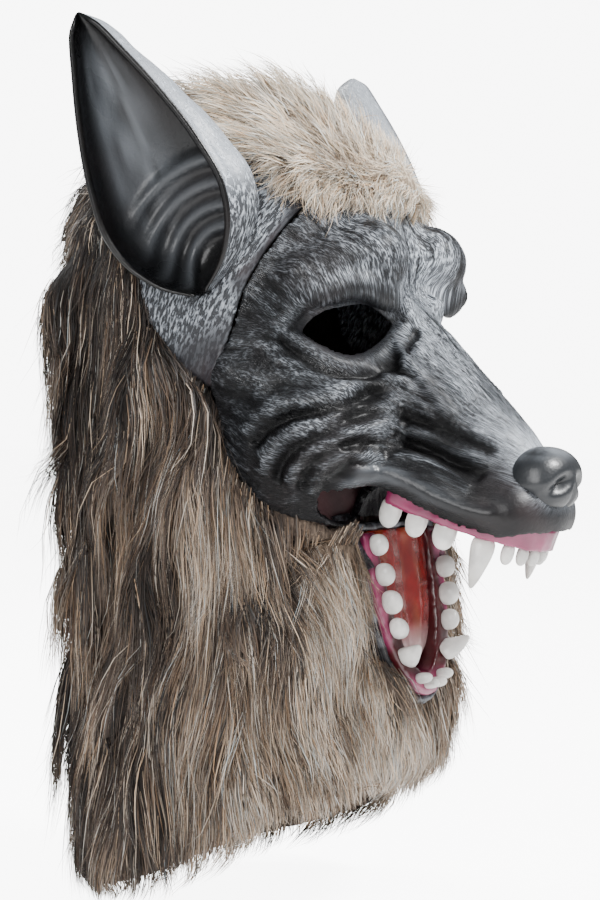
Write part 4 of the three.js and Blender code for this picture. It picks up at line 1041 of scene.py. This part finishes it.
def build_side_panel(side, material):
    """The smooth latex between the face and the ear, a thin dark seam along its edge."""
    edge = panel_edge()
    middle = edge.mean(0)
    rings = np.linspace(PANEL_RIM, PANEL_HUB, PANEL_RINGS)
    spots = np.array([middle + (edge - middle) * share for share in rings]).reshape(-1, 2)
    centres = np.stack([np.zeros(len(spots)), spots[:, 0], spots[:, 1]], axis=1)
    outer = surface_along(centres, np.tile([float(side), 0, 0], (len(spots), 1)))
    normal = outwards(outer)
    rim = np.repeat(rings, PANEL_TURNS)
    outer += normal * (0.5 - 0.9 * smoothstep(0.965, PANEL_RIM, rim))[:, None]
    depth = ear_depth(outer, side)
    outer -= ear_axes(side)[1] * (np.clip(depth + 1.5, 0, None) * (depth > 0))[:, None]
    shape = (PANEL_RINGS, PANEL_TURNS, 3)
    inner = (outer - normal * WALL).reshape(shape)[::-1]
    piece = grid_piece(f"side_panel_{side_name(side)}",
                       np.concatenate([inner, outer.reshape(shape)]))
    points = points_of(piece)
    edge_share = np.concatenate([rim[::-1], rim, [0, 0]])
    along, across, _ = ear_place(points, side)
    held = np.clip(along, 0, 1)
    reach = across - (ear_size("width", held) + ear_size("flare", held))
    near = smoothstep(10, 3, reach) * smoothstep(-0.16, -0.04, along)
    flow = np.stack([points[:, 1] / 1.3 + points[:, 2] / 3, points[:, 2] / 5 - points[:, 1] / 8,
                     points[:, 0] * 0.1], axis=1)
    shade = 2.0 - 1.7 * smoothstep(0.96, PANEL_RIM, edge_share)
    store(piece, flow=flow, relief=near * 0.9,
          brushed=np.clip(0.05 + 0.05 * noise(points, 18, 4) + 0.5 * near, 0, 1),
          paint=shade[:, None] * np.array([1.05, 1, 1.02]))
    finish_piece(piece, "latex_grey", material)


# The mouth


def softened(node_name, name, voxel, passes):
    piece = remeshed(node_name, name, voxel)
    apply_modifier(piece, "SMOOTH", factor=0.5, iterations=passes)
    return piece


def build_nose(material):
    """A rounded pad with two comma-shaped nostrils and a groove down its middle."""
    low, high = (np.array(corner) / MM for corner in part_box("nose_pad"))
    radii = np.array([(high[0] - low[0]) / 2, 17.0, (high[2] - low[2]) / 2 + 1.5])
    middle = np.array([0.0, low[1] + radii[1], (high[2] + low[2]) / 2 - 1.0])
    rows, columns = 80, 120
    pitch = np.linspace(0.02, math.pi - 0.02, rows)[:, None]
    turn = np.linspace(0, 2 * math.pi, columns, endpoint=False)[None]
    unit = np.stack([np.sin(pitch) * np.cos(turn), np.sin(pitch) * np.sin(turn),
                     np.cos(pitch) * np.ones_like(turn)], axis=2)
    unit = np.sign(unit) * np.abs(unit) ** 0.9
    flat = unit.reshape(-1, 3)
    side, level = np.abs(flat[:, 0]), flat[:, 2]
    front = smoothstep(0.15, -0.25, flat[:, 1])
    nostril = bump_at(np.hypot((side - 0.47) / 1.25, level + 0.12 + 0.55 * (side - 0.47)), 0.23)
    wing = bump_at(np.hypot(side - 0.86, level + 0.1), 0.22)
    groove = bump_at(flat[:, 0], 0.07) * smoothstep(0.1, -0.3, level)
    sink = front * (6.0 * nostril + 1.2 * groove) - 1.0 * wing
    points = middle + flat * (radii - sink[:, None])
    piece = grid_piece("nose", points.reshape(rows, columns, 3))
    # Painted highlight along the top of the nose
    top_highlight = smoothstep(0.5, 0.95, np.append(flat[:, 2], [-1, 1]))
    store(piece, brushed=0.3 * top_highlight)
    finish_piece(piece, "nose_black", material, "nose_pad")


def build_gum(node_name, colours, material):
    """A lumpy gum with paler patches, the lower one darker on its inner side."""
    piece = softened(node_name, f"{node_name}_soft", 1.1, 4)
    points = points_of(piece)
    points += normals_of(piece) * (0.5 + 0.5 * noise(points, 6, 7))[:, None]
    move_points(piece, points)
    share = smoothstep(-0.3, 0.6, noise(points, 9, 8))[:, None]
    low, high = np.array(colours.gum), np.array(colours.gum_pale)
    colour = low + (high - low) * share
    if node_name == "lower_gum":
        # Painted shade on the lower gum's inner side
        inward = smoothstep(29.5, 26.5, np.abs(points[:, 0])) * smoothstep(-288, -280, points[:, 2])
        colour = colour + (np.array(colours.gum_shade) - colour) * inward[:, None]
    store(piece, paint=colour)
    finish_piece(piece, "gum_pink", material, node_name)


def build_tongue(colours, material):
    """A streaked tongue with a pale painted highlight at its tip."""
    piece = softened("tongue", "tongue_soft", 1.3, 4)
    points = points_of(piece)
    points += normals_of(piece) * (0.35 * noise(points, (5, 5, 12), 12))[:, None]
    points[:, 0] *= TONGUE_SPREAD
    move_points(piece, points)
    low = points[:, 2].min()
    # Painted highlight: the tip of the tongue is made pale
    tip = smoothstep(low + 24, low + 4, points[:, 2])[:, None]
    streak = smoothstep(0.1, 0.7, noise(points, (4, 8, 26), 13))[:, None]
    red, orange = np.array(colours.tongue), np.array(colours.tongue_streak)
    colour = red + (orange - red) * streak
    colour = colour + (np.array(colours.tongue_tip_highlight) - colour) * tip
    store(piece, paint=colour)
    finish_piece(piece, "tongue_red", material, "tongue")


def build_jaw(material):
    """The wrinkled lower lip."""
    piece = softened("lower_jaw", "lower_lip", 1.6, 3)
    points = points_of(piece)
    wrinkles = noise(points, (12, 12, 5), 15)
    points += normals_of(piece) * (0.3 + 0.6 * wrinkles)[:, None]
    move_points(piece, points)
    store(piece, flow=points * 0.12, relief=np.full(len(points), 0.25),
          brushed=np.clip(0.12 + 0.15 * wrinkles, 0, 1),
          paint=np.tile([1.1, 1.05, 1.1], (len(points), 1)))
    finish_piece(piece, "latex_grey", material, "lower_jaw")


def build_mouth_corner(side, material):
    """The wrinkled web that joins the lip to the jaw."""
    name = side_name(side)
    rows, columns = 40, 24
    share = np.linspace(0, 1, rows)
    rear, front = (
        np.stack([np.interp(share, [0, 0.5, 1], [row[k] for row in edge]) for k in range(3)], axis=1)
        for edge in (CORNER_REAR, CORNER_FRONT)
    )
    across = np.linspace(0, 1, columns)
    outer = rear[:, None] + (front - rear)[:, None] * across[None, :, None]
    bulge = np.sin(math.pi * across) ** 0.6
    folds = noise(np.stack([share * 9, share * 0, share * 0], axis=1), 1, 19)
    fan = noise(np.stack([np.repeat(share * 3, columns), np.tile(across * 7, rows),
                          np.zeros(rows * columns)], axis=1), 1, 20).reshape(rows, columns)
    outer[:, :, 0] -= (3.0 + 0.8 * folds[:, None] + 1.0 * fan) * bulge[None]
    inner = outer + np.array([1.8, 0.6, 0.0])
    grid = np.concatenate([outer, inner[:, ::-1]], axis=1) * np.array([-side, 1, 1])
    piece = grid_piece(f"mouth_corner_{name}", grid)
    points = points_of(piece)
    pink = smoothstep(-0.2, 0.6, noise(points, 5, 22)) * smoothstep(-204, -214, points[:, 2])
    tint = np.array([1.3, 1.1, 1.2]) + pink[:, None] * np.array([12, 4.5, 7.5])
    store(piece, flow=points * 0.2, relief=np.full(len(points), 0.6),
          brushed=np.full(len(points), 0.1), paint=tint)
    finish_piece(piece, "latex_grey", material)


def build_tooth(node_name, colours, material):
    """A tooth rounded off from its solid, and swollen a little to make up for it."""
    piece = copy_node(node_name, f"{node_name}_round")
    apply_modifier(piece, "SUBSURF", levels=2, render_levels=2)
    points = points_of(piece)
    middle = points.mean(0)
    points = middle + (points - middle) * TOOTH_SWELL
    if "upper_molar" in node_name:
        points[:, 2] += MOLAR_RAISE
    move_points(piece, points)
    # Darker towards the tooth's ends, by distance from its middle
    toward_ends = np.clip(np.linalg.norm(points - middle, axis=1) / 12, 0, 1)[:, None]
    low, high = np.array(colours.tooth), np.array(colours.tooth_foot)
    store(piece, paint=low + (high - low) * toward_ends * 0.35)
    finish_piece(piece, "tooth_ivory", material, node_name)


# The fur


def fur_flow(points, normals, kind):
    """The way the hair is combed, along the coat."""
    crown = smoothstep(-70, 0, points[:, 2])
    down = np.tile([0.0, 0.0, -1.0], (len(points), 1))
    rise = 0.2 if kind == "fur_crest" else -0.35
    back = np.stack([points[:, 0] * 0.006, np.full(len(points), 1.0),
                     np.full(len(points), rise)], axis=1)
    flow = down + (back - down) * crown[:, None]
    if kind == "fur_beard":
        flow += np.array([0.0, -0.25, 0.0])
    if kind == "fur_hood":
        behind = smoothstep(-60, 20, points[:, 1])
        flow += np.stack([0 * behind, 0.16 * (1 - behind), 0 * behind], axis=1)
    swirl = np.stack([noise(points, 34, 30 + k) for k in range(3)], axis=1)
    flow = flow + swirl * np.array([0.42, 0.42, 0.16])
    flow -= normals * np.einsum("ij,ij->i", flow, normals)[:, None]
    return flow / np.maximum(np.linalg.norm(flow, axis=1, keepdims=True), 1e-6)


def face_edge_distance(points):
    """The distance of places from the rear edge of the latex, seen from the side."""
    edge = np.array([(row["y"] * SNOUT_REACH, row["z"] * HEAD_HEIGHT) for row in LATEX_EDGE])
    return path_distance(points[:, 1:], edge)


def coat_samples(piece, count, rng):
    """Random places on the outside of a coat, with their normals."""
    mesh = piece.data
    mesh.calc_loop_triangles()
    corners = np.zeros(len(mesh.loop_triangles) * 3, np.int64)
    mesh.loop_triangles.foreach_get("vertices", corners)
    points, normals = points_of(piece), normals_of(piece)
    triangles = points[corners.reshape(-1, 3)]
    cross = np.cross(triangles[:, 1] - triangles[:, 0], triangles[:, 2] - triangles[:, 0])
    area = np.linalg.norm(cross, axis=1) / 2
    middle = triangles.mean(1)
    facing = np.einsum("ij,ij->i", cross / (2 * area[:, None] + 1e-9), outwards(middle))
    area = area * (head_form(middle) > 1.2) * (facing > 0.1)
    area = area * (1 + EDGE_DENSITY * bump_at(face_edge_distance(middle), EDGE_REACH))
    chosen = rng.choice(len(area), count, p=area / area.sum())
    mix = rng.dirichlet((1, 1, 1), count)
    places = np.einsum("ij,ijk->ik", mix, triangles[chosen])
    chosen_normals = np.einsum("ij,ijk->ik", mix, normals[corners.reshape(-1, 3)[chosen]])
    return places, chosen_normals / np.linalg.norm(chosen_normals, axis=1, keepdims=True)


def trace_guides(tree, starts, normals, kind, lengths, lifts):
    """Guides that run along the coat and lift off it towards their tips."""
    path = [starts]
    place = starts
    steps = FUR_COATS[kind]["steps"]
    heading = fur_flow(starts, normals, kind)
    if kind == "fur_crest":
        heading = heading * 0.85 + normals * 0.5
    for step in range(1, steps + 1):
        share = step / steps
        place = place + heading * (lengths / steps)[:, None]
        off = lifts * share**1.5 + 1.0
        for i, spot in enumerate(place):
            hit, normal = tree.find_nearest(Vector(spot * MM))[:2]
            above = (spot - np.array(hit) / MM) @ np.array(normal)
            if above < off[i]:
                place[i] = spot + np.array(normal) * (off[i] - above)
            normals[i] = normal
        path.append(place)
        wish = fur_flow(place, normals, kind)
        if kind == "fur_crest":
            wish = wish * 0.8 + normals * (0.4 - 0.4 * share)
        heading = heading * 0.45 + wish * 0.55
        heading /= np.linalg.norm(heading, axis=1, keepdims=True)
    return np.stack(path, axis=1)


def tone_colours(tones, kind):
    table = np.array(FUR_TONES[FUR_COATS[kind]["colours"]])
    tones = np.clip(tones, 0, 1) * (len(table) - 1)
    return np.stack([np.interp(tones, range(len(table)), table[:, k]) for k in range(3)], axis=1)


def fur_tone(points, kind):
    """The middle tone of the fur at a place: paler round the face and under the jaw."""
    tone = np.full(len(points), FUR_COATS[kind]["tone"])
    if kind == "fur_hood":
        around = smoothstep(20, -60, points[:, 1]) * smoothstep(-120, -190, points[:, 2])
        tone = tone + 0.19 * around - 0.12 * smoothstep(-190, -120, points[:, 2])
        tone = tone + 0.1 * smoothstep(-330, -390, points[:, 2])
    if kind == "fur_beard":
        tone = tone + 0.2 * smoothstep(-40, -95, points[:, 1]) * smoothstep(-60, -20, points[:, 0])
    contrast = 0.8 if kind == "fur_crest" else 1.0
    streaks = 0.34 * noise(points, (14, 14, 60), 41) + 0.14 * noise(points, 40, 42)
    return tone + contrast * streaks


def held_back(values, low, high):
    """Values drawn in softly where they pass low or high."""
    over, under = (STRAY_REACH * (1 - np.exp(-np.clip(beyond, 0, None) / STRAY_REACH))
                   for beyond in (values - high, low - values))
    return np.clip(values, low, high) + over - under


def trim_level(points):
    """How low the hair may hang at places along the hem."""
    return -np.interp(points[:, 1], [-HALF_DEPTH, 0, HALF_DEPTH], HAIR_DROPS)


def cut_to_hem(spine, spare):
    """Strands shortened where their tips would hang past the hem by more than spare."""
    root, tip, steps = spine[:, 0], spine[:, -1], spine.shape[1] - 1
    room = root[:, 2] - trim_level(tip) + spare
    kept = np.clip(room / np.maximum(root[:, 2] - tip[:, 2], 1), 0.2, 1)
    at = kept[:, None] * np.arange(steps + 1)
    before = np.minimum(at.astype(int), steps - 1)
    part = (at - before)[:, :, None]
    rows = np.arange(len(spine))[:, None]
    return spine[rows, before] * (1 - part) + spine[rows, before + 1] * part


def tidied(points):
    """Hair kept outside the latex and the cloth, and trimmed near the hem and the coat's reach."""
    low, high = np.array(CAD_LOW) / MM, np.array(CAD_HIGH) / MM
    depth = head_form(points)
    sunk = depth < HAIR_CLEARANCE
    points[sunk] += outwards(points[sunk]) * (HAIR_CLEARANCE - depth[sunk])[:, None]
    points[:, 2] = held_back(points[:, 2], trim_level(points), high[2])
    points[:, 1] = held_back(points[:, 1], low[1], high[1] - 4)
    return points


def in_ear(spine):
    """Which strands pass into an ear's cup or its wall."""
    flat = spine.reshape(-1, 3)
    inside = np.zeros(len(flat), bool)
    for side in (1, -1):
        inside |= (ear_depth(flat, side) > -1.0) & (ear_place(flat, side)[2] < 12)
    return inside.reshape(spine.shape[:2]).any(axis=1)


def strand_spines(guides, normals, rng, lock_radius):
    """The middle lines of the strands that each guide leads, with what a ribbon along them needs:
    its direction across, its normal and its guide."""
    count = len(guides) * STRANDS_PER_LOCK
    owner = np.repeat(np.arange(len(guides)), STRANDS_PER_LOCK)
    path, normal = guides[owner], normals[owner]
    heading = path[:, 1] - path[:, 0]
    heading /= np.linalg.norm(heading, axis=1, keepdims=True)
    across = np.cross(heading, normal)
    across /= np.maximum(np.linalg.norm(across, axis=1, keepdims=True), 1e-6)
    share = np.linspace(0, 1, path.shape[1])
    turn = rng.uniform(0, 2 * math.pi, count)
    radius = lock_radius / MM * np.sqrt(rng.uniform(0, 1, count))
    root = across * (radius * np.cos(turn))[:, None] + heading * (radius * np.sin(turn))[:, None]
    gather = 1 - rng.uniform(0.2, 0.75, count)[:, None] * share**0.8
    stray = rng.normal(0, 1, (count, 3)) * rng.choice([1.8, 6.5], (count, 1), p=[0.85, 0.15])
    wave = np.sin(share * rng.uniform(2, 6, count)[:, None] + turn[:, None]) * share
    trim = rng.uniform(0.6, 1.0, count)[:, None]
    spine = path[:, :1] + (path - path[:, :1]) * trim[:, :, None]
    spine = spine + root[:, None] * gather[:, :, None] + stray[:, None] * (share**1.6)[:, None]
    spine = spine + across[:, None] * (wave * rng.uniform(0, 2.4, count)[:, None])[:, :, None]
    spine = cut_to_hem(spine, rng.uniform(-14, 4, count))
    spine = tidied(spine.reshape(-1, 3)).reshape(spine.shape)
    kept = ~in_ear(spine)
    return spine[kept], across[kept], normal[kept], owner[kept]


def ribbon_mesh(name, spine, half):
    """Flat ribbons along spines, half of each one's width as vectors, that end in a point."""
    count = len(spine)
    left, right = spine[:, :-1] - half[:, :-1], spine[:, :-1] + half[:, :-1]
    points = np.concatenate([np.stack([left, right], axis=2).reshape(count, -1, 3),
                             spine[:, -1:]], axis=1)
    per = points.shape[1]
    quads = np.array([[k, k + 1, k + 3, k + 2] for k in range(0, per - 3, 2)])
    base = (np.arange(count) * per)[:, None, None]
    quads = (quads[None] + base).reshape(-1, 4)
    tips = (np.array([[per - 3, per - 2, per - 1]])[None] + base).reshape(-1, 3)
    loops = np.concatenate([quads.ravel(), tips.ravel()])
    corners = np.concatenate([np.full(len(quads), 4), np.full(len(tips), 3)])
    mesh = bpy.data.meshes.new(name)
    mesh.vertices.add(count * per)
    mesh.vertices.foreach_set("co", (points * MM).ravel())
    mesh.loops.add(len(loops))
    mesh.loops.foreach_set("vertex_index", loops)
    mesh.polygons.add(len(corners))
    mesh.polygons.foreach_set("loop_start", np.concatenate([[0], np.cumsum(corners)[:-1]]))
    mesh.update(calc_edges=True)
    return mesh


def strand_colours(kind, guides, owner, rng, share, silver_share):
    """A colour for each point of each strand, darker at the root and paler at the tip."""
    count = len(owner)
    lock_tone = fur_tone(guides[:, 0], kind) + rng.normal(0, 0.13, len(guides))
    tone = lock_tone[owner] + rng.normal(0, 0.11, count)
    silver = rng.uniform(0, 1, count) < silver_share
    tone = np.where(silver, rng.uniform(0.85, 1.0, count), tone)
    row = np.concatenate([np.repeat(share[:-1], 2), [1.0]])
    fade = -0.22 * (1 - row) ** 1.5 + 0.12 * row
    colour = tone_colours((tone[:, None] + fade[None]).ravel(), kind)
    warm = 1 + 0.12 * rng.normal(0, 1, (count, 1)) * np.array([1.0, 0.2, -0.6])
    return np.clip((colour.reshape(count, -1, 3) * warm[:, None]).reshape(-1, 3), 0, 1)


def strand_piece(name, kind, guides, normals, rng, sizes, material, slot):
    """Every strand along a set of guides, as one piece."""
    spine, across, normal, owner = strand_spines(guides, normals, rng, sizes.lock_radius)
    count = len(spine)
    share = np.linspace(0, 1, spine.shape[1])
    roll = rng.uniform(-0.9, 0.9, count)[:, None]
    flat = across * np.cos(roll) + normal * np.sin(roll)
    thick = sizes.strand_width / MM / 2 * rng.uniform(0.6, 1.3, count)
    taper = np.interp(share, [0, 0.2, 0.5, 1], [0.8, 1.0, 0.85, 0])
    half = flat[:, None] * (thick[:, None] * taper)[:, :, None]
    piece = new_piece(name, ribbon_mesh(name, spine, half))
    colours = strand_colours(kind, guides, owner, rng, share, sizes.silver_share)
    store(piece, hair_colour=colours)
    finish_piece(piece, slot, material)


def trimmed_shares(points, kind):
    """How long the hair is and how far it stands off at a place, as shares of the coat's own: it
    is shorter and flatter at the edges of the crest and at the crown of the hood."""
    if kind == "fur_crest":
        calm = smoothstep(-92, -30, points[:, 1]) * smoothstep(75, 35, np.abs(points[:, 0]))
        return 0.38 + 0.62 * calm, 0.1 + 0.9 * calm
    if kind == "fur_hood":
        crown = smoothstep(-120, -50, points[:, 2])
        return 1 - 0.5 * crown, 1 - 0.8 * crown
    return 1.0, 1.0


def build_coat(kind, sizes, coat, strand, slot):
    """The dense under fur over a coat's solid, and the long strands combed over it."""
    row = FUR_COATS[kind]
    base = softened(kind, f"{kind}_under", sizes.coat_cell, 3)
    points = points_of(base) + normals_of(base) * COAT_SWELL
    move_points(base, points)
    tone = fur_tone(points, kind) - 0.14
    store(base, paint=tone_colours(tone, kind))
    finish_piece(base, slot, coat, kind)
    rng = np.random.default_rng(sum(map(ord, kind)))
    count = int(row["strands"] * sizes.fur_density) // STRANDS_PER_LOCK
    starts, normals = coat_samples(base, count, rng)
    tree = BVHTree.FromObject(base, bpy.context.evaluated_depsgraph_get())
    lengths = row["length"] * rng.uniform(0.7, 1.15, count)
    lifts = row["lift"] * rng.uniform(0.3, 1.3, count)
    length_share, lift_share = trimmed_shares(starts, kind)
    guides = trace_guides(tree, starts.copy(), normals.copy(), kind, lengths * length_share,
                          lifts * lift_share)
    if kind != "fur_hood":
        strand_piece(f"{kind}_strands", kind, guides, normals, rng, sizes, strand, slot)
        return
    bearing = np.arctan2(starts[:, 0], starts[:, 1])
    quarter = np.digitize(bearing, [-1.0, 0, 1.0])
    for index, part in enumerate(("right", "back_right", "back_left", "left")):
        chosen = quarter == index
        strand_piece(f"{kind}_strands_{part}", kind, guides[chosen], normals[chosen], rng, sizes,
                     strand, slot)


# What a user may change


class WolfMaskSizes(bpy.types.PropertyGroup):
    """Sizes of the relief and of the fur"""

    face_cell: bpy.props.FloatProperty(
        name="Face cell", description="How finely the face is divided, in millimetres",
        default=1.35, min=0.6, max=4)
    coat_cell: bpy.props.FloatProperty(
        name="Coat cell", description="How finely the under fur is divided, in millimetres",
        default=3.6, min=2, max=8)
    stroke_depth: bpy.props.FloatProperty(
        name="Stroke depth", description="Depth of the moulded hair strokes",
        default=0.0016, unit="LENGTH")
    lock_radius: bpy.props.FloatProperty(
        name="Lock radius", description="How far the strands of a lock start from its middle",
        default=0.0062, unit="LENGTH")
    strand_width: bpy.props.FloatProperty(
        name="Strand width", description="Width of a strand", default=0.00048, unit="LENGTH")
    fur_density: bpy.props.FloatProperty(
        name="Fur density", description="Share of the full number of strands",
        default=1.0, min=0.01, max=1.2)
    silver_share: bpy.props.FloatProperty(
        name="Silver hairs", description="Share of the strands that are silver",
        default=0.07, min=0, max=1, subtype="FACTOR")


def colour_property(name, description, default):
    return bpy.props.FloatVectorProperty(
        name=name, description=description, default=default, subtype="COLOR", size=3, min=0,
        max=1)


class WolfMaskColours(bpy.types.PropertyGroup):
    """Colours of the latex, the mouth and the teeth"""

    latex_dark: colour_property("Latex", "Dark latex", (0.0085, 0.0088, 0.0105))
    latex_brown: colour_property("Latex tint", "Brown tint of the latex", (0.022, 0.016, 0.0165))
    latex_silver: colour_property("Brushed paint", "Silver paint", (0.66, 0.72, 0.80))
    nose: colour_property("Nose", "The nose", (0.012, 0.014, 0.017))
    gum: colour_property("Gum", "The gums", (0.25, 0.018, 0.085))
    gum_pale: colour_property("Pale gum", "Paler parts of the gums", (0.36, 0.065, 0.15))
    gum_shade: colour_property("Gum shade", "The lower gum's inner side", (0.07, 0.005, 0.008))
    tongue: colour_property("Tongue", "The tongue", (0.24, 0.010, 0.008))
    tongue_streak: colour_property("Tongue streaks", "Streaks on the tongue", (0.26, 0.045, 0.02))
    # The tongue's tip colour is a painted highlight
    tongue_tip_highlight: colour_property("Tongue tip", "The pale tip of the tongue", (0.72, 0.5, 0.5))
    mouth: colour_property("Mouth", "The back of the mouth", (0.02, 0.003, 0.004))
    tooth: colour_property("Tooth", "The teeth", (0.86, 0.85, 0.82))
    tooth_foot: colour_property("Tooth foot", "The teeth near the gums", (0.5, 0.42, 0.36))
    floor: colour_property("Floor", "The floor", (0.92, 0.92, 0.92))


def settings():
    scene = bpy.context.scene
    return scene.wolf_mask_sizes, scene.wolf_mask_colours


def latex():
    return bpy.data.materials.get("painted latex") or latex_material(*settings())


class MASK_OT_face(bpy.types.Operator):
    """Build the moulded face and its side panels"""

    bl_idname = "wolf_mask.face"
    bl_label = "Face"

    def execute(self, context):
        build_face(settings()[0], latex())
        for side in (1, -1):
            build_side_panel(side, latex())
        return {"FINISHED"}


class MASK_OT_ears(bpy.types.Operator):
    """Build both ear cups"""

    bl_idname = "wolf_mask.ears"
    bl_label = "Ears"

    def execute(self, context):
        for side in (1, -1):
            build_ear(side, latex())
        return {"FINISHED"}


class MASK_OT_mouth(bpy.types.Operator):
    """Build the nose, gums, tongue, jaw and the back of the mouth"""

    bl_idname = "wolf_mask.mouth"
    bl_label = "Nose and mouth"

    def execute(self, context):
        colours = settings()[1]
        build_nose(nose_material(colours))
        gloss = painted_material("glossy gums", 0.32, 0.5, 60.0, 0.0004)
        for name in ("upper_gum", "lower_gum"):
            build_gum(name, colours, gloss)
        build_tongue(colours, painted_material("glossy tongue", 0.22, 0.8, 70.0, 0.0006))
        build_jaw(latex())
        for side in (1, -1):
            build_mouth_corner(side, latex())
        roof = softened("mouth_roof", "mouth_back", 2.4, 2)
        finish_piece(roof, "mouth_maroon", mouth_material(colours), "mouth_roof")
        return {"FINISHED"}


class MASK_OT_teeth(bpy.types.Operator):
    """Build every tooth"""

    bl_idname = "wolf_mask.teeth"
    bl_label = "Teeth"

    def execute(self, context):
        colours = settings()[1]
        enamel = painted_material("glossy enamel", 0.28, 0.5, 90.0, 0.0002)
        for name in sorted(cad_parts):
            if any(kind in name for kind in ("molar", "canine", "incisor")):
                build_tooth(name, colours, enamel)
        return {"FINISHED"}


class MASK_OT_fur(bpy.types.Operator):
    """Comb the long fur over the hood, the crest and the beard"""

    bl_idname = "wolf_mask.fur"
    bl_label = "Fur"

    def execute(self, context):
        sizes = settings()[0]
        coat, strand = coat_material(), strand_material()
        for kind, slot in (("fur_hood", "fur_brown"), ("fur_crest", "fur_cream"),
                           ("fur_beard", "fur_cream")):
            build_coat(kind, sizes, coat, strand, slot)
        return {"FINISHED"}


class MASK_OT_stage(bpy.types.Operator):
    """Set the floor, the lights and the camera"""

    bl_idname = "wolf_mask.stage"
    bl_label = "Stage"

    def execute(self, context):
        colours = settings()[1]
        low = CAD_LOW.z - 0.004
        deselect()
        bpy.ops.mesh.primitive_plane_add(size=14, location=(0, 0, low))
        floor = context.object
        floor.name = "floor"
        bpy.ops.object.transform_apply(location=True)
        paper, tree, shader = new_material("floor paper", Roughness=0.9)
        shader.inputs["Base Color"].default_value = (*colours.floor, 1)
        shader.inputs["Emission Color"].default_value = (1, 1, 1, 1)
        glow_for_camera(tree, FLOOR_GLOW, shader.inputs["Emission Strength"])
        floor.data.materials.append(paper)
        add_lights()
        add_camera()
        return {"FINISHED"}


def glow_for_camera(tree, strength, socket):
    """Light that the camera sees at full strength, while the mask gets only the ambient share."""
    seen = node(tree, "ShaderNodeLightPath").outputs["Is Camera Ray"]
    tree.links.new(maths(tree, "ADD", maths(tree, "MULTIPLY", seen, strength), AMBIENT), socket)


def add_lights():
    world = bpy.data.worlds.new("studio")
    bpy.context.scene.world = world
    world.use_nodes = True
    backdrop = world.node_tree.nodes["Background"]
    backdrop.inputs["Color"].default_value = (1, 1, 1, 1)
    glow_for_camera(world.node_tree, BACKDROP_GLOW, backdrop.inputs["Strength"])
    centre = (CAD_LOW + CAD_HIGH) / 2
    for name, row in LAMPS.items():
        light = bpy.data.lights.new(name, "AREA")
        light.size = row["size"]
        light.energy = row["power"]
        lamp = bpy.data.objects.new(name, light)
        bpy.context.scene.collection.objects.link(lamp)
        lamp.location = centre + Vector(row["place"])
        lamp.rotation_euler = (centre - lamp.location).to_track_quat("-Z", "Y").to_euler()


def add_camera():
    a, e = CAMERA_AZIMUTH, CAMERA_ELEVATION
    back = Vector((math.sin(a) * math.cos(e), -math.cos(a) * math.cos(e), math.sin(e)))
    right = Vector((math.cos(a), math.sin(a), 0))
    aim = right * CAMERA_ACROSS * MM + Vector((0, 0, CAMERA_HEIGHT * MM))
    lens = bpy.data.cameras.new("camera")
    lens.sensor_width = CAMERA_SENSOR
    lens.lens = CAMERA_LENS
    camera = bpy.data.objects.new("camera", lens)
    bpy.context.scene.collection.objects.link(camera)
    camera.location = aim + back * CAMERA_DISTANCE * MM
    camera.rotation_euler = (-back).to_track_quat("-Z", "Y").to_euler()
    bpy.context.scene.camera = camera


class MASK_PT_panel(bpy.types.Panel):
    """Lists the steps that build the mask"""

    bl_idname = "MASK_PT_panel"
    bl_label = "Wolf mask"
    bl_space_type = "VIEW_3D"
    bl_region_type = "UI"
    bl_category = "Wolf mask"

    def draw(self, context):
        for group in settings():
            for name in group.bl_rna.properties.keys():
                if name not in ("rna_type", "name"):
                    self.layout.prop(group, name)
        for step in STEPS:
            self.layout.operator(step.bl_idname)


STEPS = (MASK_OT_face, MASK_OT_ears, MASK_OT_mouth, MASK_OT_teeth, MASK_OT_fur, MASK_OT_stage)
CLASSES = (WolfMaskSizes, WolfMaskColours, *STEPS, MASK_PT_panel)


def register():
    for each in CLASSES:
        bpy.utils.register_class(each)
    bpy.types.Scene.wolf_mask_sizes = bpy.props.PointerProperty(type=WolfMaskSizes)
    bpy.types.Scene.wolf_mask_colours = bpy.props.PointerProperty(type=WolfMaskColours)


def unregister():
    del bpy.types.Scene.wolf_mask_sizes
    del bpy.types.Scene.wolf_mask_colours
    for each in reversed(CLASSES):
        bpy.utils.unregister_class(each)


def main():
    register()
    bpy.ops.wolf_mask.face()
    bpy.ops.wolf_mask.ears()
    bpy.ops.wolf_mask.mouth()
    bpy.ops.wolf_mask.teeth()
    bpy.ops.wolf_mask.fur()
    bpy.ops.wolf_mask.stage()


if __name__ == "__main__":
    main()
